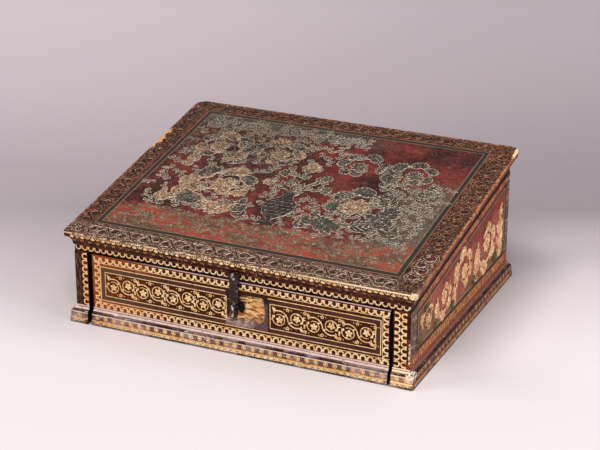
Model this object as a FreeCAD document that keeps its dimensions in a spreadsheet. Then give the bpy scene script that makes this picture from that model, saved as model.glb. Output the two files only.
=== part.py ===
"""Letter writing box: a leather-covered wooden case with a sloping lid, a front drawer and an iron hasp.

Frame: millimetres, X to the right along the front, Y to the back, Z up.
The origin is the middle of the box's plan, at the level of the surface that it stands on.
"""
import FreeCAD, Part
import math
import os

import Sketcher

Vector = FreeCAD.Vector

DRIVING = {
    # case
    "box_width": 400,
    "box_depth": 314.5,
    "front_height": 86,
    "back_height": 133.6,
    "left_pilaster_width": 17,
    "right_pilaster_width": 19.8,
    "leather_thickness": 0.8,
    "back_board_thickness": 13.2,
    "bottom_thickness": 8,
    "floor_thickness": 7,
    "front_rail_thickness": 10,
    "lining_thickness": 0.5,
    # base moulding
    "base_height": 20.2,
    "base_projection": 6.5,
    "base_corner": 1.5,
    "plinth_height": 6.2,
    "band_height": 7.6,
    "band_projection": 5.2,
    "groove_depth": 0.7,
    "groove_height": 0.8,
    "bead_height": 1.2,
    "bead_projection": 0.9,
    "hollow_fullness": 0.85,
    # drawer
    "drawer_front_thickness": 14,
    "drawer_left_gap": 4.3,
    "drawer_right_gap": 2.4,
    "drawer_top_gap": 1.8,
    "drawer_foot_gap": 1,
    "drawer_seat_gap": 0.4,
    "drawer_running_gap": 0.3,
    "drawer_headroom": 2.7,
    "drawer_box_height": 50,
    "drawer_side_thickness": 8,
    "drawer_back_thickness": 8,
    "drawer_back_drop": 5,
    "drawer_bottom_thickness": 5,
    "drawer_back_gap": 4,
    # bared wood where the lock plate was, and the old lock's mortise
    "scar_left": -10.8,
    "scar_right": 34,
    "scar_low": 36,
    "scar_high": 71.5,
    "mortise_left": 5,
    "mortise_width": 6,
    "mortise_low": 46,
    "mortise_height": 15,
    "mortise_depth": 5,
    # lid
    "lid_gap": 1,
    "lid_overhang": 9,
    "rim_height": 25,
    "rim_seat_width": 17,
    "frieze_height": 7.6,
    "frieze_setback": 0.5,
    "cavetto_start": 1,
    "cavetto_reach": 6.8,
    "cornice_fillet": 5,
    "lid_board_thickness": 11.2,
    "lid_front_corner": 5,
    "lid_back_corner": 12,
    # back hinges
    "hinge_inset": 80,
    "hinge_width": 42,
    "hinge_leaf_height": 22,
    "hinge_leaf_thickness": 1.2,
    "hinge_stand_off": 3.2,
    "hinge_knuckle_radius": 2.6,
    "hinge_knuckle_width": 14,
    "hinge_knuckle_gap": 0.3,
    "hinge_pin_radius": 1.4,
    "hinge_pin_clearance": 0.05,
    "hinge_nail_inset": 6,
    # nails
    "nail_radius": 0.8,
    "nail_length": 6,
    "nail_hole_clearance": 0.2,
    "nail_head_radius": 1.7,
    "nail_head_height": 0.7,
    # hasp
    "hasp_centre": -1.3,
    "hasp_width": 11.7,
    "hasp_waist_width": 9.6,
    "hasp_thickness": 2.6,
    "hasp_stand_off": 1.2,
    "hasp_end_height": 44,
    "hasp_knob_height": 15,
    "hasp_knob_radius": 3.6,
    "hasp_shoulder_height": 6,
    "hasp_head_height": 9,
    "hasp_knuckle_radius": 3,
    "hasp_knuckle_width": 4.5,
    "hasp_knuckle_gap": 0.3,
    "hasp_pin_radius": 1.3,
    "hasp_pin_clearance": 0.05,
    "hasp_axis_rise": 6.7,
    "hasp_axis_stand_off": 4.4,
    "eye_plate_thickness": 1.1,
    "eye_plate_edge": 0.4,
    "eye_web_drop": 2.2,
    "eye_prong_length": 9,
}

doc = FreeCAD.newDocument("letter_writing_box")
sheet = doc.addObject("Spreadsheet::Sheet", "dims")
for row, (word, size) in enumerate(DRIVING.items(), start=1):
    sheet.set(f"A{row}", word)
    sheet.set(f"B{row}", str(size))
    sheet.setAlias(f"B{row}", word)
doc.recompute()

# Places that more than one piece shares, as expressions on the sheet.
LEFT = "(-dims.box_width / 2)"
RIGHT = "(dims.box_width / 2)"
FRONT = "(-dims.box_depth / 2)"
BACK = "(dims.box_depth / 2)"
SKIN = "dims.leather_thickness"
SLOPE = "((dims.back_height - dims.front_height) / dims.box_depth)"
INNER_LEFT = f"({LEFT} + dims.left_pilaster_width)"
INNER_RIGHT = f"({RIGHT} - dims.right_pilaster_width)"
INNER_BACK = f"({BACK} - {SKIN} - dims.back_board_thickness)"
CASE_FACE = f"({FRONT} + dims.drawer_front_thickness + dims.drawer_seat_gap)"
RAIL_REAR = f"({CASE_FACE} + dims.front_rail_thickness)"


def value(expression):
    """The number that an expression on the sheet gives now."""
    found = sheet.evalExpression(expression.replace("dims.", ""))
    return float(getattr(found, "Value", found))


def bind_place(piece, x="0", y="0", z="0"):
    """Ties a piece's place to the sheet."""
    for axis, expression in (("x", x), ("y", y), ("z", z)):
        if "dims." in expression:
            piece.setExpression(f"Placement.Base.{axis}", expression)


def block(name, x, y, z):
    """A rectangular piece between pairs of faces (low, high) along X, Y and Z."""
    piece = doc.addObject("Part::Box", name)
    for side, (low, high) in (("Length", x), ("Width", y), ("Height", z)):
        piece.setExpression(side, f"{high} - {low}")
    bind_place(piece, x[0], y[0], z[0])
    return piece


TURNS = {"X": (Vector(0, 1, 0), 90), "Y": (Vector(1, 0, 0), -90), "-Y": (Vector(1, 0, 0), 90),
         "Z": (Vector(0, 0, 1), 0)}


def rod(name, radius, length, place, along="X"):
    """A round bar that starts at a place and runs along X, Y, -Y or Z."""
    piece = doc.addObject("Part::Cylinder", name)
    piece.Placement = FreeCAD.Placement(Vector(), FreeCAD.Rotation(*TURNS[along]))
    piece.setExpression("Radius", radius)
    piece.setExpression("Height", length)
    bind_place(piece, *place)
    return piece


def joined(name, pieces):
    """One solid made of several."""
    piece = doc.addObject("Part::MultiFuse", name)
    piece.Shapes = pieces
    return piece


def group(name, pieces):
    """Separate solids that share one node."""
    piece = doc.addObject("Part::Compound", name)
    piece.Links = pieces
    return piece


def cut(name, base, tool):
    """A piece with a tool's shape taken out of it."""
    piece = doc.addObject("Part::Cut", name)
    piece.Base = base
    piece.Tool = tool
    return piece


def edge_curve(start, end, radius, centre_side):
    """A straight edge, or with a radius an arc whose centre lies on the left (+1) or right (-1) of its way.

    An arc always runs anticlockwise, so one with its centre on the right is drawn from its far end.
    """
    if radius is None:
        return Part.LineSegment(start, end)
    chord = end - start
    left = Vector(-chord.y, chord.x, 0).normalize() * centre_side
    centre = (start + end) / 2 + left * max(radius ** 2 - chord.Length ** 2 / 4, 0) ** 0.5
    first, last = (start, end) if centre_side > 0 else (end, start)
    angles = [math.atan2(point.y - centre.y, point.x - centre.x) for point in (first, last)]
    if angles[1] < angles[0]:
        angles[1] += 2 * math.pi
    return Part.ArcOfCircle(Part.Circle(centre, Vector(0, 0, 1), radius), *angles)


def sketch_on(body, role, name, loop, centre_side=1):
    """A closed sketch on one of the body's own planes, tied to the sheet.

    Each corner is (a, b), or (a, b, radius) where the edge that leaves it is an arc.
    """
    sketch = body.newObject("Sketcher::SketchObject", name)
    plane = next(item for item in body.Origin.OriginFeatures if item.Role == role)
    sketch.AttachmentSupport = [(plane, "")]
    sketch.MapMode = "FlatFace"
    corners = [Vector(value(corner[0]), value(corner[1]), 0) for corner in loop]
    for index, corner in enumerate(loop):
        radius = value(corner[2]) if len(corner) == 3 else None
        following = corners[(index + 1) % len(loop)]
        sketch.addGeometry(edge_curve(corners[index], following, radius, centre_side), False)
    starts = [2 if len(corner) == 3 and centre_side < 0 else 1 for corner in loop]
    for index, corner in enumerate(loop):
        following = (index + 1) % len(loop)
        sketch.addConstraint(
            Sketcher.Constraint("Coincident", index, 3 - starts[index], following, starts[following]))
        ties = [("DistanceX", (-1, 1, index, starts[index]), corner[0]),
                ("DistanceY", (-1, 1, index, starts[index]), corner[1])]
        if len(corner) == 3:
            ties.append(("Radius", (index,), corner[2]))
        for kind, where, expression in ties:
            number = sketch.addConstraint(Sketcher.Constraint(kind, *where, value(expression)))
            if "dims." in expression:
                sketch.setExpression(f"Constraints[{number}]", expression)
    return sketch


def pad_along_x(name, outline, x_low, x_high, centre_side=1):
    """A body whose (y, z) outline runs along X."""
    body = doc.addObject("PartDesign::Body", name)
    pad = body.newObject("PartDesign::Pad", f"{name}_pad")
    pad.Profile = sketch_on(body, "YZ_Plane", f"{name}_outline", outline, centre_side)
    pad.setExpression("Length", f"{x_high} - {x_low}")
    bind_place(body, x=x_low)
    return body


def pad_along_y(name, outline, y_low, y_high, slope="0", centre_side=1):
    """A body whose (x, z) outline at y_low runs back along Y, rising by the slope."""
    body = doc.addObject("PartDesign::Body", name)
    pad = body.newObject("PartDesign::Pad", f"{name}_pad")
    pad.Profile = sketch_on(body, "XZ_Plane", f"{name}_outline", outline, centre_side)
    pad.UseCustomVector = True
    pad.AlongSketchNormal = True
    pad.Direction = Vector(0, 1, 0)
    if "dims." in slope:
        pad.setExpression("Direction.z", slope)
    pad.setExpression("Length", f"{y_high} - {y_low}")
    bind_place(body, y=y_low)
    return body


def trimmed(name, piece, plan):
    """A piece kept only where it lies over a plan."""
    tool = doc.addObject("PartDesign::Body", f"{name}_plan")
    pad = tool.newObject("PartDesign::Pad", f"{name}_plan_pad")
    pad.Profile = sketch_on(tool, "XY_Plane", f"{name}_plan_outline", plan)
    pad.setExpression("Length", "dims.back_height + dims.rim_height + dims.box_depth")
    result = doc.addObject("Part::Common", name)
    result.Base = piece
    result.Tool = tool
    return result


def ring_plan(edge, inward, outward, front_radius, back_radius):
    """The plan of one side of a mitred frame round the case, with its outer corners rounded."""
    signs = ((-1, -1), (1, -1), (1, 1), (-1, 1))
    first = ("front", "right", "back", "left").index(edge)
    start = signs[first]
    end = signs[(first + 1) % 4]

    def spot(sign, inset_x, inset_y):
        x = f"({sign[0]}) * (dims.box_width / 2 + {outward} - {inset_x})"
        y = f"({sign[1]}) * (dims.box_depth / 2 + {outward} - {inset_y})"
        return x, y

    loop = []
    for sign in (start, end):
        radius = front_radius if sign[1] < 0 else back_radius
        on_mitre = spot(sign, *[f"{radius} * (1 - sqrt(0.5))"] * 2)
        on_edge = spot(sign, radius, "0") if edge in ("front", "back") else spot(sign, "0", radius)
        loop += [on_mitre + (radius,), on_edge] if sign == start else [on_edge + (radius,), on_mitre]
    depth = f"({outward} + {inward})"
    return loop + [spot(end, depth, depth), spot(start, depth, depth)]


def full_plan(outward, front_radius, back_radius):
    """The whole plan of the case, grown outward, with rounded corners."""
    loop = []
    for sign_x, sign_y in ((-1, -1), (1, -1), (1, 1), (-1, 1)):
        radius = front_radius if sign_y < 0 else back_radius
        on_x = (f"({sign_x}) * (dims.box_width / 2 + {outward} - {radius})",
                f"({sign_y}) * (dims.box_depth / 2 + {outward})")
        on_y = (f"({sign_x}) * (dims.box_width / 2 + {outward})",
                f"({sign_y}) * (dims.box_depth / 2 + {outward} - {radius})")
        before, after = (on_y, on_x) if sign_x == sign_y else (on_x, on_y)
        loop += [before + (radius,), after]
    return loop


NODES = {}


def node(name, piece):
    """Names a finished sub-part."""
    piece.Label = name
    NODES[name] = piece


def lid_line(y):
    """Height of the lid's underside at depth y."""
    return f"(dims.front_height + ({y} - {FRONT}) * {SLOPE})"


def sloping_outline(y_low, y_high, z_low):
    """A (y, z) outline from a level foot up to the case's sloping top edge, which clears the lid."""
    tops = [(y, f"({lid_line(y)} - dims.lid_gap)") for y in (y_high, y_low)]
    return [(y_low, z_low), (y_high, z_low)] + tops


def on_face(profile, face, sign, base=lambda across: "0"):
    """A (reach, height[, radius]) profile set on a face that looks towards -1 or +1."""
    outline = []
    for reach, height, *radius in profile:
        across = f"({face} + ({sign}) * {reach})"
        outline.append((across, f"({base(across)} + {height})", *radius))
    return outline


# Case boards
DRAWER_FLOOR = "(dims.bottom_thickness + dims.drawer_running_gap)"
FLOOR_LOW = f"({DRAWER_FLOOR} + dims.drawer_box_height + dims.drawer_headroom)"
FLOOR_HIGH = f"({FLOOR_LOW} + dims.floor_thickness)"
INSIDE_X = (INNER_LEFT, INNER_RIGHT)
COMPARTMENT_Y = (RAIL_REAR, INNER_BACK)

side_outline = sloping_outline(f"({FRONT} + {SKIN})", f"({BACK} - {SKIN})", "0")
node("left_side_board", pad_along_x("left_side_board", side_outline, f"({LEFT} + {SKIN})", INNER_LEFT))
node("right_side_board", pad_along_x("right_side_board", side_outline, INNER_RIGHT, f"({RIGHT} - {SKIN})"))
back_outline = sloping_outline(INNER_BACK, f"({BACK} - {SKIN})", "0")
node("back_board", pad_along_x("back_board", back_outline, *INSIDE_X))
rail_outline = sloping_outline(CASE_FACE, RAIL_REAR, FLOOR_LOW)
node("front_rail", pad_along_x("front_rail", rail_outline, *INSIDE_X))
node("bottom_board", block("bottom_board", INSIDE_X, (CASE_FACE, INNER_BACK), ("0", "dims.bottom_thickness")))
node("compartment_floor", block("compartment_floor", INSIDE_X, COMPARTMENT_Y, (FLOOR_LOW, FLOOR_HIGH)))
node("compartment_lining", block(
    "compartment_lining", INSIDE_X, COMPARTMENT_Y, (FLOOR_HIGH, f"({FLOOR_HIGH} + dims.lining_thickness)")))

# Case covers
cover_outline = sloping_outline(f"({FRONT} + {SKIN})", BACK, "dims.base_height")
node("left_side_leather", pad_along_x("left_side_leather", cover_outline, LEFT, f"({LEFT} + {SKIN})"))
node("right_side_leather", pad_along_x("right_side_leather", cover_outline, f"({RIGHT} - {SKIN})", RIGHT))
pilaster_outline = sloping_outline(FRONT, f"({FRONT} + {SKIN})", "dims.base_height")
node("left_pilaster_leather", pad_along_x("left_pilaster_leather", pilaster_outline, LEFT, INNER_LEFT))
node("right_pilaster_leather", pad_along_x("right_pilaster_leather", pilaster_outline, INNER_RIGHT, RIGHT))
rear_outline = sloping_outline(f"({BACK} - {SKIN})", BACK, "dims.base_height")
node("back_leather", pad_along_x("back_leather", rear_outline, f"({LEFT} + {SKIN})", f"({RIGHT} - {SKIN})"))

# Base mouldings: a plinth, a flat band, a groove, a hollow and a bead
BAND_TOP = "(dims.plinth_height + dims.band_height)"
GROOVE = "(dims.band_projection - dims.groove_depth)"
HOLLOW_LOW = f"({BAND_TOP} + dims.groove_height)"
HOLLOW_HIGH = "(dims.base_height - dims.bead_height)"
HOLLOW_RADIUS = (f"dims.hollow_fullness * sqrt(({GROOVE} - dims.bead_projection) ^ 2"
                 f" + ({HOLLOW_HIGH} - {HOLLOW_LOW}) ^ 2)")


def base_profile(foot):
    """(reach, height) corners, from the back of the foot round to the back of the top."""
    return [(f"(-{SKIN})", foot), ("dims.base_projection", foot),
            ("dims.base_projection", "dims.plinth_height"), ("dims.band_projection", "dims.plinth_height"),
            ("dims.band_projection", BAND_TOP), (GROOVE, BAND_TOP), (GROOVE, HOLLOW_LOW, HOLLOW_RADIUS),
            ("dims.bead_projection", HOLLOW_HIGH), ("dims.bead_projection", "dims.base_height"),
            (f"(-{SKIN})", "dims.base_height")]


BASE_PLAN = (SKIN, "dims.base_projection", "dims.base_corner", "dims.base_corner")
BASE_X = (f"({LEFT} - dims.base_projection)", f"({RIGHT} + dims.base_projection)")
BASE_Y = (f"({FRONT} - dims.base_projection)", f"({BACK} + dims.base_projection)")
for side, face, sign in (("left", LEFT, -1), ("right", RIGHT, 1)):
    name = f"{side}_base_moulding"
    outline = on_face(base_profile("0"), face, sign)
    strip = pad_along_y(f"{side}_base_strip", outline, *BASE_Y, centre_side=-sign)
    node(name, trimmed(name, strip, ring_plan(side, *BASE_PLAN)))
outline = on_face(base_profile("0"), BACK, 1)
strip = pad_along_x("back_base_strip", outline, *BASE_X, centre_side=-1)
node("back_base_moulding", trimmed("back_base_moulding", strip, ring_plan("back", *BASE_PLAN)))
outline = on_face(base_profile("0"), FRONT, -1)
for side, ends in (("left", (BASE_X[0], INNER_LEFT)), ("right", (INNER_RIGHT, BASE_X[1]))):
    name = f"{side}_pilaster_base"
    strip = pad_along_x(f"{name}_strip", outline, *ends)
    node(name, trimmed(name, strip, ring_plan("front", *BASE_PLAN)))

# Drawer
DRAWER_X = (f"({INNER_LEFT} + dims.drawer_left_gap)", f"({INNER_RIGHT} - dims.drawer_right_gap)")
DRAWER_TOP = "(dims.front_height - dims.drawer_top_gap)"
SHOULDER = f"({FRONT} + dims.drawer_front_thickness)"
DRAWER_REAR = f"({INNER_BACK} - dims.drawer_back_gap)"
BOX_TOP = f"({DRAWER_FLOOR} + dims.drawer_box_height)"
TRAY_X = (f"({DRAWER_X[0]} + dims.drawer_side_thickness)", f"({DRAWER_X[1]} - dims.drawer_side_thickness)")
TRAY_Y = (SHOULDER, f"({DRAWER_REAR} - dims.drawer_back_thickness)")
TRAY_Z = f"({DRAWER_FLOOR} + dims.drawer_bottom_thickness)"

board = block("drawer_front_board", DRAWER_X, (f"({FRONT} + {SKIN})", SHOULDER),
              ("dims.drawer_foot_gap", DRAWER_TOP))
mortise = block("lock_mortise", ("dims.mortise_left", "(dims.mortise_left + dims.mortise_width)"),
                (FRONT, f"({FRONT} + {SKIN} + dims.mortise_depth)"),
                ("dims.mortise_low", "(dims.mortise_low + dims.mortise_height)"))
node("drawer_front", cut("drawer_front", board, mortise))
skin = block("drawer_skin", DRAWER_X, (FRONT, f"({FRONT} + {SKIN})"), ("dims.base_height", DRAWER_TOP))
scar = block("lock_scar", ("dims.scar_left", "dims.scar_right"), (f"({FRONT} - {SKIN})", SHOULDER),
             ("dims.scar_low", "dims.scar_high"))
node("drawer_front_leather", cut("drawer_front_leather", skin, scar))
outline = on_face(base_profile("dims.drawer_foot_gap"), FRONT, -1)
node("drawer_base_moulding", pad_along_x("drawer_base_moulding", outline, *DRAWER_X))
for side, ends in (("left", (DRAWER_X[0], TRAY_X[0])), ("right", (TRAY_X[1], DRAWER_X[1]))):
    name = f"drawer_{side}_side"
    node(name, block(name, ends, (SHOULDER, DRAWER_REAR), (DRAWER_FLOOR, BOX_TOP)))
node("drawer_back", block("drawer_back", TRAY_X, (TRAY_Y[1], DRAWER_REAR),
                          (DRAWER_FLOOR, f"({BOX_TOP} - dims.drawer_back_drop)")))
node("drawer_bottom", block("drawer_bottom", TRAY_X, TRAY_Y, (DRAWER_FLOOR, TRAY_Z)))
node("drawer_lining", block("drawer_lining", TRAY_X, TRAY_Y, (TRAY_Z, f"({TRAY_Z} + dims.lining_thickness)")))

# Lid: four mitred mouldings round a board, under one leather cover
RIM_TOP = f"(dims.rim_height - {SKIN})"
CORNICE_LOW = "(dims.rim_height - dims.cornice_fillet)"
CAVETTO_RADIUS = (f"dims.hollow_fullness * sqrt(dims.cavetto_reach ^ 2"
                  f" + ({CORNICE_LOW} - dims.frieze_height) ^ 2)")
RIM_PROFILE = [("(-dims.rim_seat_width)", "0"), ("(-dims.frieze_setback)", "0"),
               ("(-dims.frieze_setback)", "dims.frieze_height"),
               ("dims.cavetto_start", "dims.frieze_height", CAVETTO_RADIUS),
               ("(dims.cavetto_start + dims.cavetto_reach)", CORNICE_LOW),
               ("dims.lid_overhang", CORNICE_LOW), ("dims.lid_overhang", RIM_TOP),
               ("(-dims.rim_seat_width)", RIM_TOP)]
RIM_PLAN = ("dims.rim_seat_width", "dims.lid_overhang", "dims.lid_front_corner", "dims.lid_back_corner")
LID_X = (f"({LEFT} - dims.lid_overhang)", f"({RIGHT} + dims.lid_overhang)")
LID_Y = (f"({FRONT} - dims.lid_overhang)", f"({BACK} + dims.lid_overhang)")
FIELD_X = (f"({LEFT} + dims.rim_seat_width)", f"({RIGHT} - dims.rim_seat_width)")
FIELD_Y = (f"({FRONT} + dims.rim_seat_width)", f"({BACK} - dims.rim_seat_width)")
LID_BOARD_LOW = f"({RIM_TOP} - dims.lid_board_thickness)"


def sloping_slab(y, low, high):
    """The (y, z) outline of a slab that lies along the lid between two heights above its underside."""
    return [(y[0], f"({lid_line(y[0])} + {low})"), (y[1], f"({lid_line(y[1])} + {low})"),
            (y[1], f"({lid_line(y[1])} + {high})"), (y[0], f"({lid_line(y[0])} + {high})")]


for side, face, sign in (("front", FRONT, -1), ("back", BACK, 1)):
    name = f"lid_{side}_moulding"
    outline = on_face(RIM_PROFILE, face, sign, lid_line)
    strip = pad_along_x(f"{name}_strip", outline, *LID_X, centre_side=-sign)
    node(name, trimmed(name, strip, ring_plan(side, *RIM_PLAN)))
for side, face, sign in (("left", LEFT, -1), ("right", RIGHT, 1)):
    name = f"lid_{side}_moulding"
    outline = on_face(RIM_PROFILE, face, sign, lambda across: lid_line(LID_Y[0]))
    strip = pad_along_y(f"{name}_strip", outline, *LID_Y, slope=SLOPE, centre_side=-sign)
    node(name, trimmed(name, strip, ring_plan(side, *RIM_PLAN)))
node("lid_board", pad_along_x("lid_board", sloping_slab(FIELD_Y, LID_BOARD_LOW, RIM_TOP), *FIELD_X))
cover = pad_along_x("lid_cover_sheet", sloping_slab(LID_Y, RIM_TOP, "dims.rim_height"), *LID_X)
node("lid_cover_leather", trimmed("lid_cover_leather", cover, full_plan(*RIM_PLAN[1:])))
lining = sloping_slab(FIELD_Y, f"({LID_BOARD_LOW} - dims.lining_thickness)", LID_BOARD_LOW)
node("lid_lining", pad_along_x("lid_lining", lining, *FIELD_X))

# Back hinges: a knuckle of the lid's leaf turns between two of the case's leaf
HINGE_Y = f"({BACK} + dims.hinge_stand_off)"
HINGE_Z = "(dims.back_height - dims.lid_gap / 2)"
LEAF_CLEAR = "(dims.hinge_knuckle_radius + dims.hinge_knuckle_gap)"
CASE_LEAF_HIGH = f"({HINGE_Z} - {LEAF_CLEAR})"
CASE_LEAF_LOW = f"({CASE_LEAF_HIGH} - dims.hinge_leaf_height)"
LID_LEAF_LOW = f"({HINGE_Z} + {LEAF_CLEAR})"
LID_LEAF_HIGH = "(dims.back_height + dims.frieze_height - dims.hinge_knuckle_gap)"
CASE_LEAF_Y = (BACK, f"({BACK} + dims.hinge_leaf_thickness)")
FRIEZE_BACK = f"({BACK} - dims.frieze_setback)"
LID_LEAF_Y = (FRIEZE_BACK, f"({FRIEZE_BACK} + dims.hinge_leaf_thickness)")
HOLE = "(dims.nail_radius + dims.nail_hole_clearance)"


def knuckle(name, ends, web_y, web_z):
    """One knuckle of a hinge leaf, with the web that carries it."""
    barrel = rod(f"{name}_barrel", "dims.hinge_knuckle_radius", f"{ends[1]} - {ends[0]}",
                 (ends[0], HINGE_Y, HINGE_Z))
    return joined(name, [barrel, block(f"{name}_web", ends, web_y, web_z)])


def nail(name, place, facing):
    """A nail whose flat round head lies on a face that looks towards the front ("-Y") or the back ("Y")."""
    x, y, z = place
    way = -1 if facing == "Y" else 1
    shank_start = f"({y} + ({way}) * dims.nail_length)"
    shank_length = "dims.nail_length + dims.nail_head_height / 2"
    shank = rod(f"{name}_shank", "dims.nail_radius", shank_length, (x, shank_start, z), along=facing)
    head = doc.addObject("Part::Cone", f"{name}_head")
    head.Placement = FreeCAD.Placement(Vector(), FreeCAD.Rotation(*TURNS[facing]))
    head.setExpression("Radius1", "dims.nail_head_radius")
    head.setExpression("Radius2", "dims.nail_head_radius - dims.nail_head_height")
    head.setExpression("Height", "dims.nail_head_height")
    bind_place(head, x, y, z)
    return joined(name, [shank, head])


def nailed_leaf(name, parts, bore_ends, nail_places):
    """A hinge leaf with its bore for the pin and a hole for each nail."""
    bore = rod(f"{name}_bore", "dims.hinge_pin_radius + dims.hinge_pin_clearance",
               f"{bore_ends[1]} - {bore_ends[0]}", (bore_ends[0], HINGE_Y, HINGE_Z))
    holes = [rod(f"{name}_hole_{number}", HOLE, "3 * dims.hinge_leaf_thickness",
                 (x, f"({y} - 2 * dims.hinge_leaf_thickness)", z), along="Y")
             for number, (x, y, z) in enumerate(nail_places)]
    return cut(name, joined(f"{name}_solid", parts), group(f"{name}_holes", [bore] + holes))


case_nails = []
lid_nails = []
for side, centre in (("left", f"({LEFT} + dims.hinge_inset)"), ("right", f"({RIGHT} - dims.hinge_inset)")):
    ends = (f"({centre} - dims.hinge_width / 2)", f"({centre} + dims.hinge_width / 2)")
    middle = (f"({centre} - dims.hinge_knuckle_width / 2)", f"({centre} + dims.hinge_knuckle_width / 2)")
    nail_x = (f"({ends[0]} + dims.hinge_nail_inset)", f"({ends[1]} - dims.hinge_nail_inset)")
    case_outer = CASE_LEAF_Y[1]
    nail_low = f"({CASE_LEAF_LOW} + dims.hinge_nail_inset)"
    nail_high = f"({CASE_LEAF_HIGH} - dims.hinge_nail_inset)"
    case_spots = [(nail_x[0], case_outer, nail_high), (nail_x[1], case_outer, nail_high),
                  (centre, case_outer, nail_low)]
    case_leaf = [
        block(f"{side}_case_plate", ends, CASE_LEAF_Y, (CASE_LEAF_LOW, CASE_LEAF_HIGH)),
        knuckle(f"{side}_case_knuckle_a", (ends[0], f"({middle[0]} - dims.hinge_knuckle_gap)"),
                CASE_LEAF_Y, (CASE_LEAF_HIGH, HINGE_Z)),
        knuckle(f"{side}_case_knuckle_b", (f"({middle[1]} + dims.hinge_knuckle_gap)", ends[1]),
                CASE_LEAF_Y, (CASE_LEAF_HIGH, HINGE_Z))]
    node(f"{side}_hinge_case_leaf", nailed_leaf(f"{side}_hinge_case_leaf", case_leaf, ends, case_spots))
    lid_outer = LID_LEAF_Y[1]
    lid_nail_z = f"(({LID_LEAF_LOW} + {LID_LEAF_HIGH}) / 2)"
    lid_spots = [(x, lid_outer, lid_nail_z) for x in nail_x]
    lid_leaf = [
        block(f"{side}_lid_plate", ends, LID_LEAF_Y, (LID_LEAF_LOW, LID_LEAF_HIGH)),
        knuckle(f"{side}_lid_knuckle", middle, (FRIEZE_BACK, case_outer), (HINGE_Z, LID_LEAF_LOW))]
    node(f"{side}_hinge_lid_leaf", nailed_leaf(f"{side}_hinge_lid_leaf", lid_leaf, ends, lid_spots))
    node(f"{side}_hinge_pin", rod(f"{side}_hinge_pin", "dims.hinge_pin_radius", "dims.hinge_width",
                                  (ends[0], HINGE_Y, HINGE_Z)))
    case_nails += [nail(f"{side}_case_nail_{number}", spot, "Y") for number, spot in enumerate(case_spots)]
    lid_nails += [nail(f"{side}_lid_nail_{number}", spot, "Y") for number, spot in enumerate(lid_spots)]
node("hinge_case_nails", group("hinge_case_nails", case_nails))
node("hinge_lid_nails", group("hinge_lid_nails", lid_nails))

# Hasp: it hangs from an eye on the lid's front frieze
HASP_Y = f"({FRONT} - dims.hasp_axis_stand_off)"
HASP_Z = "(dims.front_height + dims.hasp_axis_rise)"
HASP_X = ("(dims.hasp_centre - dims.hasp_width / 2)", "(dims.hasp_centre + dims.hasp_width / 2)")
TONGUE_X = ("(dims.hasp_centre - dims.hasp_knuckle_width / 2)",
            "(dims.hasp_centre + dims.hasp_knuckle_width / 2)")
STRAP_Y = (f"({FRONT} - dims.hasp_stand_off - dims.hasp_thickness)", f"({FRONT} - dims.hasp_stand_off)")
STRAP_TOP = f"({HASP_Z} - dims.hasp_knuckle_radius - dims.hasp_knuckle_gap)"
KNOB_TOP = "(dims.hasp_end_height + dims.hasp_knob_height)"
SHOULDER_TOP = f"({KNOB_TOP} + dims.hasp_shoulder_height)"
SHOULDER_MIDDLE = f"({KNOB_TOP} + dims.hasp_shoulder_height / 2)"
HEAD_LOW = f"({STRAP_TOP} - dims.hasp_head_height)"
FRIEZE_FRONT = f"({FRONT} + dims.frieze_setback)"
PLATE_Y = (f"({FRIEZE_FRONT} - dims.eye_plate_thickness)", FRIEZE_FRONT)
PLATE_Z = ("(dims.front_height + dims.eye_plate_edge)",
           "(dims.front_height + dims.frieze_height - dims.eye_plate_edge)")

strap_half = [("dims.hasp_knob_radius", "dims.hasp_end_height"), ("dims.hasp_knob_radius", KNOB_TOP),
              ("dims.hasp_width / 2", SHOULDER_MIDDLE), ("dims.hasp_waist_width / 2", SHOULDER_TOP),
              ("dims.hasp_waist_width / 2", HEAD_LOW), ("dims.hasp_width / 2", STRAP_TOP)]
strap_outline = [(f"(dims.hasp_centre + {half})", height) for half, height in strap_half]
strap_outline += [(f"(dims.hasp_centre - {half})", height) for half, height in reversed(strap_half)]
hasp_barrel = rod("hasp_barrel", "dims.hasp_knuckle_radius", "dims.hasp_knuckle_width",
                  (TONGUE_X[0], HASP_Y, HASP_Z))
hasp_knob = rod("hasp_knob", "dims.hasp_knob_radius", "dims.hasp_knob_height",
                ("dims.hasp_centre", f"({STRAP_Y[1]} - dims.hasp_knob_radius)", "dims.hasp_end_height"),
                along="Z")
hasp_tongue = block("hasp_tongue", TONGUE_X, STRAP_Y, (STRAP_TOP, HASP_Z))
hasp_strap = pad_along_y("hasp_strap", strap_outline, *STRAP_Y)
hasp_bore = rod("hasp_bore", "dims.hasp_pin_radius + dims.hasp_pin_clearance", "dims.hasp_knuckle_width",
                (TONGUE_X[0], HASP_Y, HASP_Z))
hasp_solid = joined("hasp_solid", [hasp_strap, hasp_tongue, hasp_barrel, hasp_knob])
node("hasp", cut("hasp", hasp_solid, hasp_bore))

eye_parts = [block("eye_plate", HASP_X, PLATE_Y, PLATE_Z)]
EARS = (("left", (HASP_X[0], f"({TONGUE_X[0]} - dims.hasp_knuckle_gap)")),
        ("right", (f"({TONGUE_X[1]} + dims.hasp_knuckle_gap)", HASP_X[1])))
for side, ends in EARS:
    eye_parts.append(rod(f"{side}_ear", "dims.hasp_knuckle_radius", f"{ends[1]} - {ends[0]}",
                         (ends[0], HASP_Y, HASP_Z)))
    eye_parts.append(block(f"{side}_ear_web", ends, (HASP_Y, PLATE_Y[1]),
                           (f"({HASP_Z} - dims.eye_web_drop)", PLATE_Z[1])))
    eye_parts.append(block(f"{side}_prong", ends, (PLATE_Y[1], f"({PLATE_Y[1]} + dims.eye_prong_length)"),
                           (f"({HASP_Z} - dims.eye_web_drop)", HASP_Z)))
eye_bore = rod("eye_bore", "dims.hasp_pin_radius + dims.hasp_pin_clearance", "dims.hasp_width",
               (HASP_X[0], HASP_Y, HASP_Z))
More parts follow.
